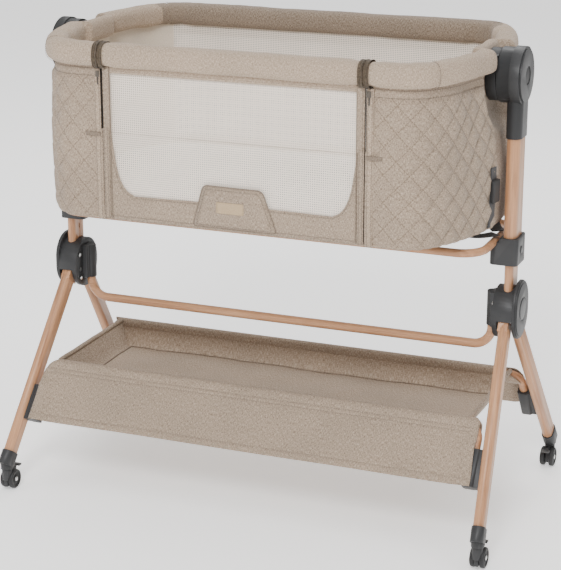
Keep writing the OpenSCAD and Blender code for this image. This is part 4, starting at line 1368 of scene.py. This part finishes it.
def tooth_tree():
    """One zip tooth every pitch."""
    sizes = (("Pitch", 0.0016), ("Tooth width", 0.0022), ("Tooth height", 0.0007))
    tree, start, spaced = spaced_points("zip_teeth", sizes, "Coil")
    size = put(tree, "ShaderNodeCombineXYZ", {0: start["Tooth width"], 1: start["Tooth height"],
                                              2: start["Tooth height"]}).outputs[0]
    tooth = put(tree, "GeometryNodeMeshCube", {"Size": size}).outputs["Mesh"]
    teeth = put(tree, "GeometryNodeInstanceOnPoints", {"Points": spaced, "Instance": tooth})
    return painted_copies(tree, teeth, start["Coil"])


def upright(side, x, y, z0, z1, count=50):
    """A line up one side of the drop panel that follows the turned-in foot."""
    levels = [z0 + (z1 - z0) * i / count for i in range(count + 1)]
    return [Vector((side * x, y + tucked(z), z)) for z in levels]


zip_teeth = tooth_tree()
wrap_start = 0.2385
wrap_mid = 0.2483
rib_pitch = 0.0046
wraps = (("drop_side", wrap_start, 0.2476, "moving"), ("bassinet", 0.2490, 0.2582, "fixed"))
for side, label in ((-1, "left"), (1, "right")):
    top = rim_low[2] + 0.004
    for body, sign, name in (("drop_side", -1, "moving"), ("bassinet", 1, "fixed")):
        foot = panel_bottom + 0.001 if body == "drop_side" else wall_bottom + 0.002
        tape = upright(side, drop_half + sign * 0.0030, front_y + 0.0028, foot, top)
        band("zip_tape_" + name + "_" + label, tape, Vector((0.0026, 0, 0)), 0.0008, zip_brown, body=body,
             slot_name="zip_metal")
        teeth = upright(side, drop_half + sign * 0.0013, front_y + 0.0018, foot + 0.002, top)
        coil = grown("zip_coil_" + name + "_" + label, [teeth], zip_teeth,
                     {"Coil": zip_brown, "Tooth width": 0.0020})
        belongs(coil, body)

    foot = panel_bottom + 0.001
    upper = upright(side, drop_half - 0.0095, front_y - 0.0016, zip_open_z, top)
    band("zip_flap_upper_" + label, upper, Vector((0.0052, 0, 0)), 0.0022, cloth, body="drop_side",
         slot_name="linen_fabric")
    lower = upright(side, drop_half - 0.0062, front_y - 0.0020, foot, zip_open_z + 0.004)
    band("zip_flap_lower_" + label, lower, Vector((0.0056, 0, 0)), 0.0026, cloth, body="drop_side",
         slot_name="linen_fabric")
    trim = upright(side, drop_half - 0.0145, front_y - 0.0016, foot, top)
    cord = round_cord("flap_piping_" + label, trim, 0.0014)
    cord.data.materials.append(binding)
    belongs(cord, "drop_side")
    stitched("flap_stitches_" + label,
             [[p + Vector((side * d, -0.0016, 0)) for p in lower] for d in (-0.0030, 0.0032)],
             "drop_side", pitch=0.0038)

    foot = wall_bottom + 0.002
    strip = upright(side, drop_half + 0.0092, front_y - 0.0014, foot, rim_low[2] - 0.001, 70)
    band("binding_upper_" + label, strip, Vector((0.0058, 0, 0)), 0.0030, cloth_rim, columns=9,
         slot_name="linen_fabric")
    close = upright(side, drop_half + 0.0034, front_y - 0.0010, foot, zip_open_z + 0.002)
    band("binding_lip_" + label, close, Vector((0.0024, 0, 0)), 0.0022, cloth, slot_name="linen_fabric")
    stitched("binding_stitches_" + label,
             [[p + Vector((side * d, -0.0018, 0)) for p in strip] for d in (-0.0038, 0.0038)], "bassinet",
             pitch=0.0038)
    dress("zip_slider_" + label, zip_metal, 0.0006)

    tab_z = wall_bottom + 0.1605
    tab = [Vector((side * (drop_half + 0.0035 + 0.0295 * i / 12),
                   front_y - 0.0040 - 0.0010 * math.sin(math.pi * i / 12), tab_z)) for i in range(13)]
    band("pull_tab_" + label, tab, Vector((0, 0, 0.0036)), 0.0022, binding)

    for body, x0, x1, name in wraps:
        columns_x = [x0 + (x1 - x0) * i / 26 for i in range(27)]
        vertices, places = [], []
        for i, x in enumerate(columns_x):
            rib = 0.0010 * abs(math.sin(math.pi * (x - wrap_start) / rib_pitch))
            lip = 0.0010 * math.exp(-((i - 1) / 1.5) ** 2) + 0.0010 * math.exp(-((i - 25) / 1.5) ** 2)
            for k in range(rim_sides):
                out, up = rim_section(k, rim_half_w * 0.93, (rim_half_h - 0.0006) * 0.93)
                flare = 0.10 * smooth_step(-0.010, -0.024, up)
                flare *= (x - wrap_mid) / 0.0100 if name == "fixed" else 1
                swell = 1 + (0.0019 + rib + lip) / math.hypot(out, up)
                px = wrap_mid + (x - wrap_mid) * (1 + flare)
                py = -rim_high[1] - (out * swell - rim_half_w)
                vertices.append((side * px, py, rim_mid_z + up * swell))
                places.append((x, math.atan2(up, out) * 0.024))
        faces = grid_faces(27, rim_sides, closed_rows=True)
        wrap = new_piece("rim_wrap_" + name + "_" + label, vertices, faces)
        face_outward(wrap)
        cloth_map(wrap, places)
        wrap.data.materials.append(binding_dark)
        belongs(wrap, body)

# ---------------------------------------------------------------------------
# Shelf
# One length of linen slung between the hem tubes: a tray with sewn corners in
# the middle and a double-stitched skirt that hangs down each pair of legs.
# ---------------------------------------------------------------------------
hem_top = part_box("front_hem_tube")[1][2]
pin_low, pin_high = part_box("leg_pivot_pins")
pivot = Vector((0, (pin_high[1] - 0.005), (pin_low[2] + pin_high[2]) / 2))
tube_r = 0.008
tray_low, tray_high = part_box("shelf_tray")
slope = math.atan2(leg_spread, leg_drop)
down = Vector((0, math.sin(slope), -math.cos(slope)))
off = Vector((0, math.cos(slope), math.sin(slope)))
hem_height = 0.224
hem_s = (pivot.z - hem_height) / math.cos(slope)
hem_half = 0.437
skirt_end = hem_s + 0.1185


def leg_point(fb, x, s, away):
    p = pivot + down * s + off * away
    return Vector((x, fb * p.y, p.z))


for fb, row in ((-1, "front"), (1, "rear")):
    across_count = 150
    profile = [(hem_s + 0.016, -tube_r - 0.0022), (hem_s + 0.008, -tube_r - 0.0018)]
    wrap_r = tube_r + 0.0018
    profile += [(hem_s - wrap_r * math.sin(math.pi * i / 10), -wrap_r * math.cos(math.pi * i / 10))
                for i in range(11)]
    profile += [(hem_s + (skirt_end - hem_s) * i / 44, wrap_r) for i in range(1, 45)]
    vertices, places = [], []
    for i in range(across_count + 1):
        t = 2 * i / across_count - 1
        run = 0.0
        last = None
        for j, (s, away) in enumerate(profile):
            radius = 0.036 if t * fb > 0 else 0.014
            short = radius - math.sqrt(max(radius ** 2 - max(hem_s - 0.010 + radius - s, 0) ** 2, 0.0))
            half = hem_half + 0.0015 - short + 0.004 * smooth_step(hem_s + 0.05, skirt_end, s)
            x = t * half
            low = smooth_step(hem_s + 0.010, hem_s + 0.05, s)
            near_end = smooth_step(0.405, 0.428, abs(x)) * smooth_step(hem_s + 0.030, hem_s + 0.050, s)
            wave_out = 0.0026 * low * wave(x, s, 0, 0.16, 3.0) + 0.0011 * low * wave(x, s, 0, 0.045, 7.0)
            wave_out += 0.0016 * low * math.sin(x / 0.060 + 1.3 * fb) * smooth_step(hem_s, skirt_end, s)
            if away > 0:
                fold = 0.0014 if s > skirt_end - 0.012 else 0.0
                seam = 0.0012 * (math.exp(-((s - hem_s - 0.0105) / 0.0016) ** 2)
                                 + math.exp(-((s - hem_s - 0.0185) / 0.0016) ** 2)
                                 + math.exp(-((s - skirt_end + 0.0125) / 0.0014) ** 2))
                away_here = away + wave_out * 0.8 + fold - seam + 0.0052 * near_end + 0.0016 * low
            else:
                away_here = away
            p = leg_point(fb, x, s, away_here)
            run += (Vector((s, away)) - Vector(last)).length if last else 0.0
            last = (s, away)
            vertices.append(p)
            places.append((x, run))
    skirt = new_piece(row + "_skirt_cloth", vertices, grid_faces(across_count + 1, len(profile)))
    face_outward(skirt, fb)
    cloth_map(skirt, places)
    skirt.data.materials.append(cloth)
    thickened(skirt, 0.0015, 1)
    belongs(skirt, row + "_legs", row + "_skirt")
    rows_of_thread = []
    for s in (hem_s + 0.0105, hem_s + 0.0185, skirt_end - 0.0125):
        j = min(range(13, len(profile)), key=lambda k: abs(profile[k][0] - s))
        rows_of_thread.append([vertices[i * len(profile) + j] + Vector((0, fb * 0.0016, 0.0006))
                               for i in range(3, across_count - 2)])
    stitches = stitched(row + "_skirt_stitches", rows_of_thread, row + "_legs", pitch=0.0046)

tray_half_x = tray_high[0] + 0.006
tray_half_y = tray_high[1] + 0.004
tray_top = hem_top - 0.0035
tray_depth = tray_top - tray_low[2] - 0.004


def from_edge(t, half):
    """Spacing along one side that packs rows into the walls."""
    wall, floor_share = 0.034, 0.72
    if abs(t) > floor_share:
        return math.copysign(half - wall * (1 - abs(t)) / (1 - floor_share), t)
    return t / floor_share * (half - wall)


def tray_height(x, y):
    dx, dy = tray_half_x - abs(x), tray_half_y - abs(y)
    wall_x = smooth_step(0.001, 0.032, dx) ** 0.75
    wall_y = smooth_step(0.0, 0.020, dy) ** 0.75
    sag = 0.0035 * math.cos(math.pi * x / (2 * tray_half_x)) * math.cos(math.pi * y / (2 * tray_half_y))
    rumple = 0.0028 * wave(x, y, 0, 0.10, 4.4) + 0.0012 * wave(x, y, 0, 0.035, 1.1)
    end_lift = 0.004 * (1 - min(1, dx / 0.02))
    return tray_top + end_lift - tray_depth * min(wall_x, wall_y) - (sag + rumple) * wall_x * wall_y


vertices, places = [], []
tray_columns, tray_rows = 170, 90
for i in range(tray_columns + 1):
    x = from_edge(2 * i / tray_columns - 1, tray_half_x)
    for j in range(tray_rows + 1):
        y = from_edge(2 * j / tray_rows - 1, tray_half_y)
        z = tray_height(x, y)
        vertices.append((x, y, z))
        places.append((x, y + math.copysign(tray_top - z, y)))
tray = new_piece("tray_cloth", vertices, grid_faces(tray_columns + 1, tray_rows + 1))
cloth_map(tray, places)
# The tray wears the lighter copy of the linen, painted light against the shade under the bassinet.
tray.data.materials.append(shelf_cloth_painted_light)
thickened(tray, 0.0022, -1)
belongs(tray, "stand_hubs", "shelf_tray")
crease_x, crease_y = tray_half_x - 0.031, tray_half_y - 0.0195
crease = [(crease_x * (2 * i / 120 - 1), -crease_y) for i in range(121)]
crease += [(crease_x, crease_y * (2 * i / 40 - 1)) for i in range(1, 41)]
crease += [(crease_x * (1 - 2 * i / 120), crease_y) for i in range(1, 121)]
crease += [(-crease_x, crease_y * (1 - 2 * i / 40)) for i in range(1, 40)]
cord = round_cord("tray_piping", [(x, y, tray_height(x, y) + 0.0012) for x, y in crease], 0.0013, closed=True)
cord.data.materials.append(binding)
for piece in (tray, cord):
    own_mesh(piece)
belongs(cord, "stand_hubs")
for side, label in ((-1, "left"), (1, "right")):
    rolled = [(side * (tray_half_x - 0.001), tray_half_y * (2 * i / 60 - 1),
               tray_top + 0.0030 + 0.0008 * wave(i, 0, 0, 9.0)) for i in range(61)]
    end_roll = round_cord("tray_end_roll_" + label, rolled, 0.0046, 12)
    end_roll.data.materials.append(cloth)
    belongs(end_roll, "stand_hubs")
    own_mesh(end_roll)
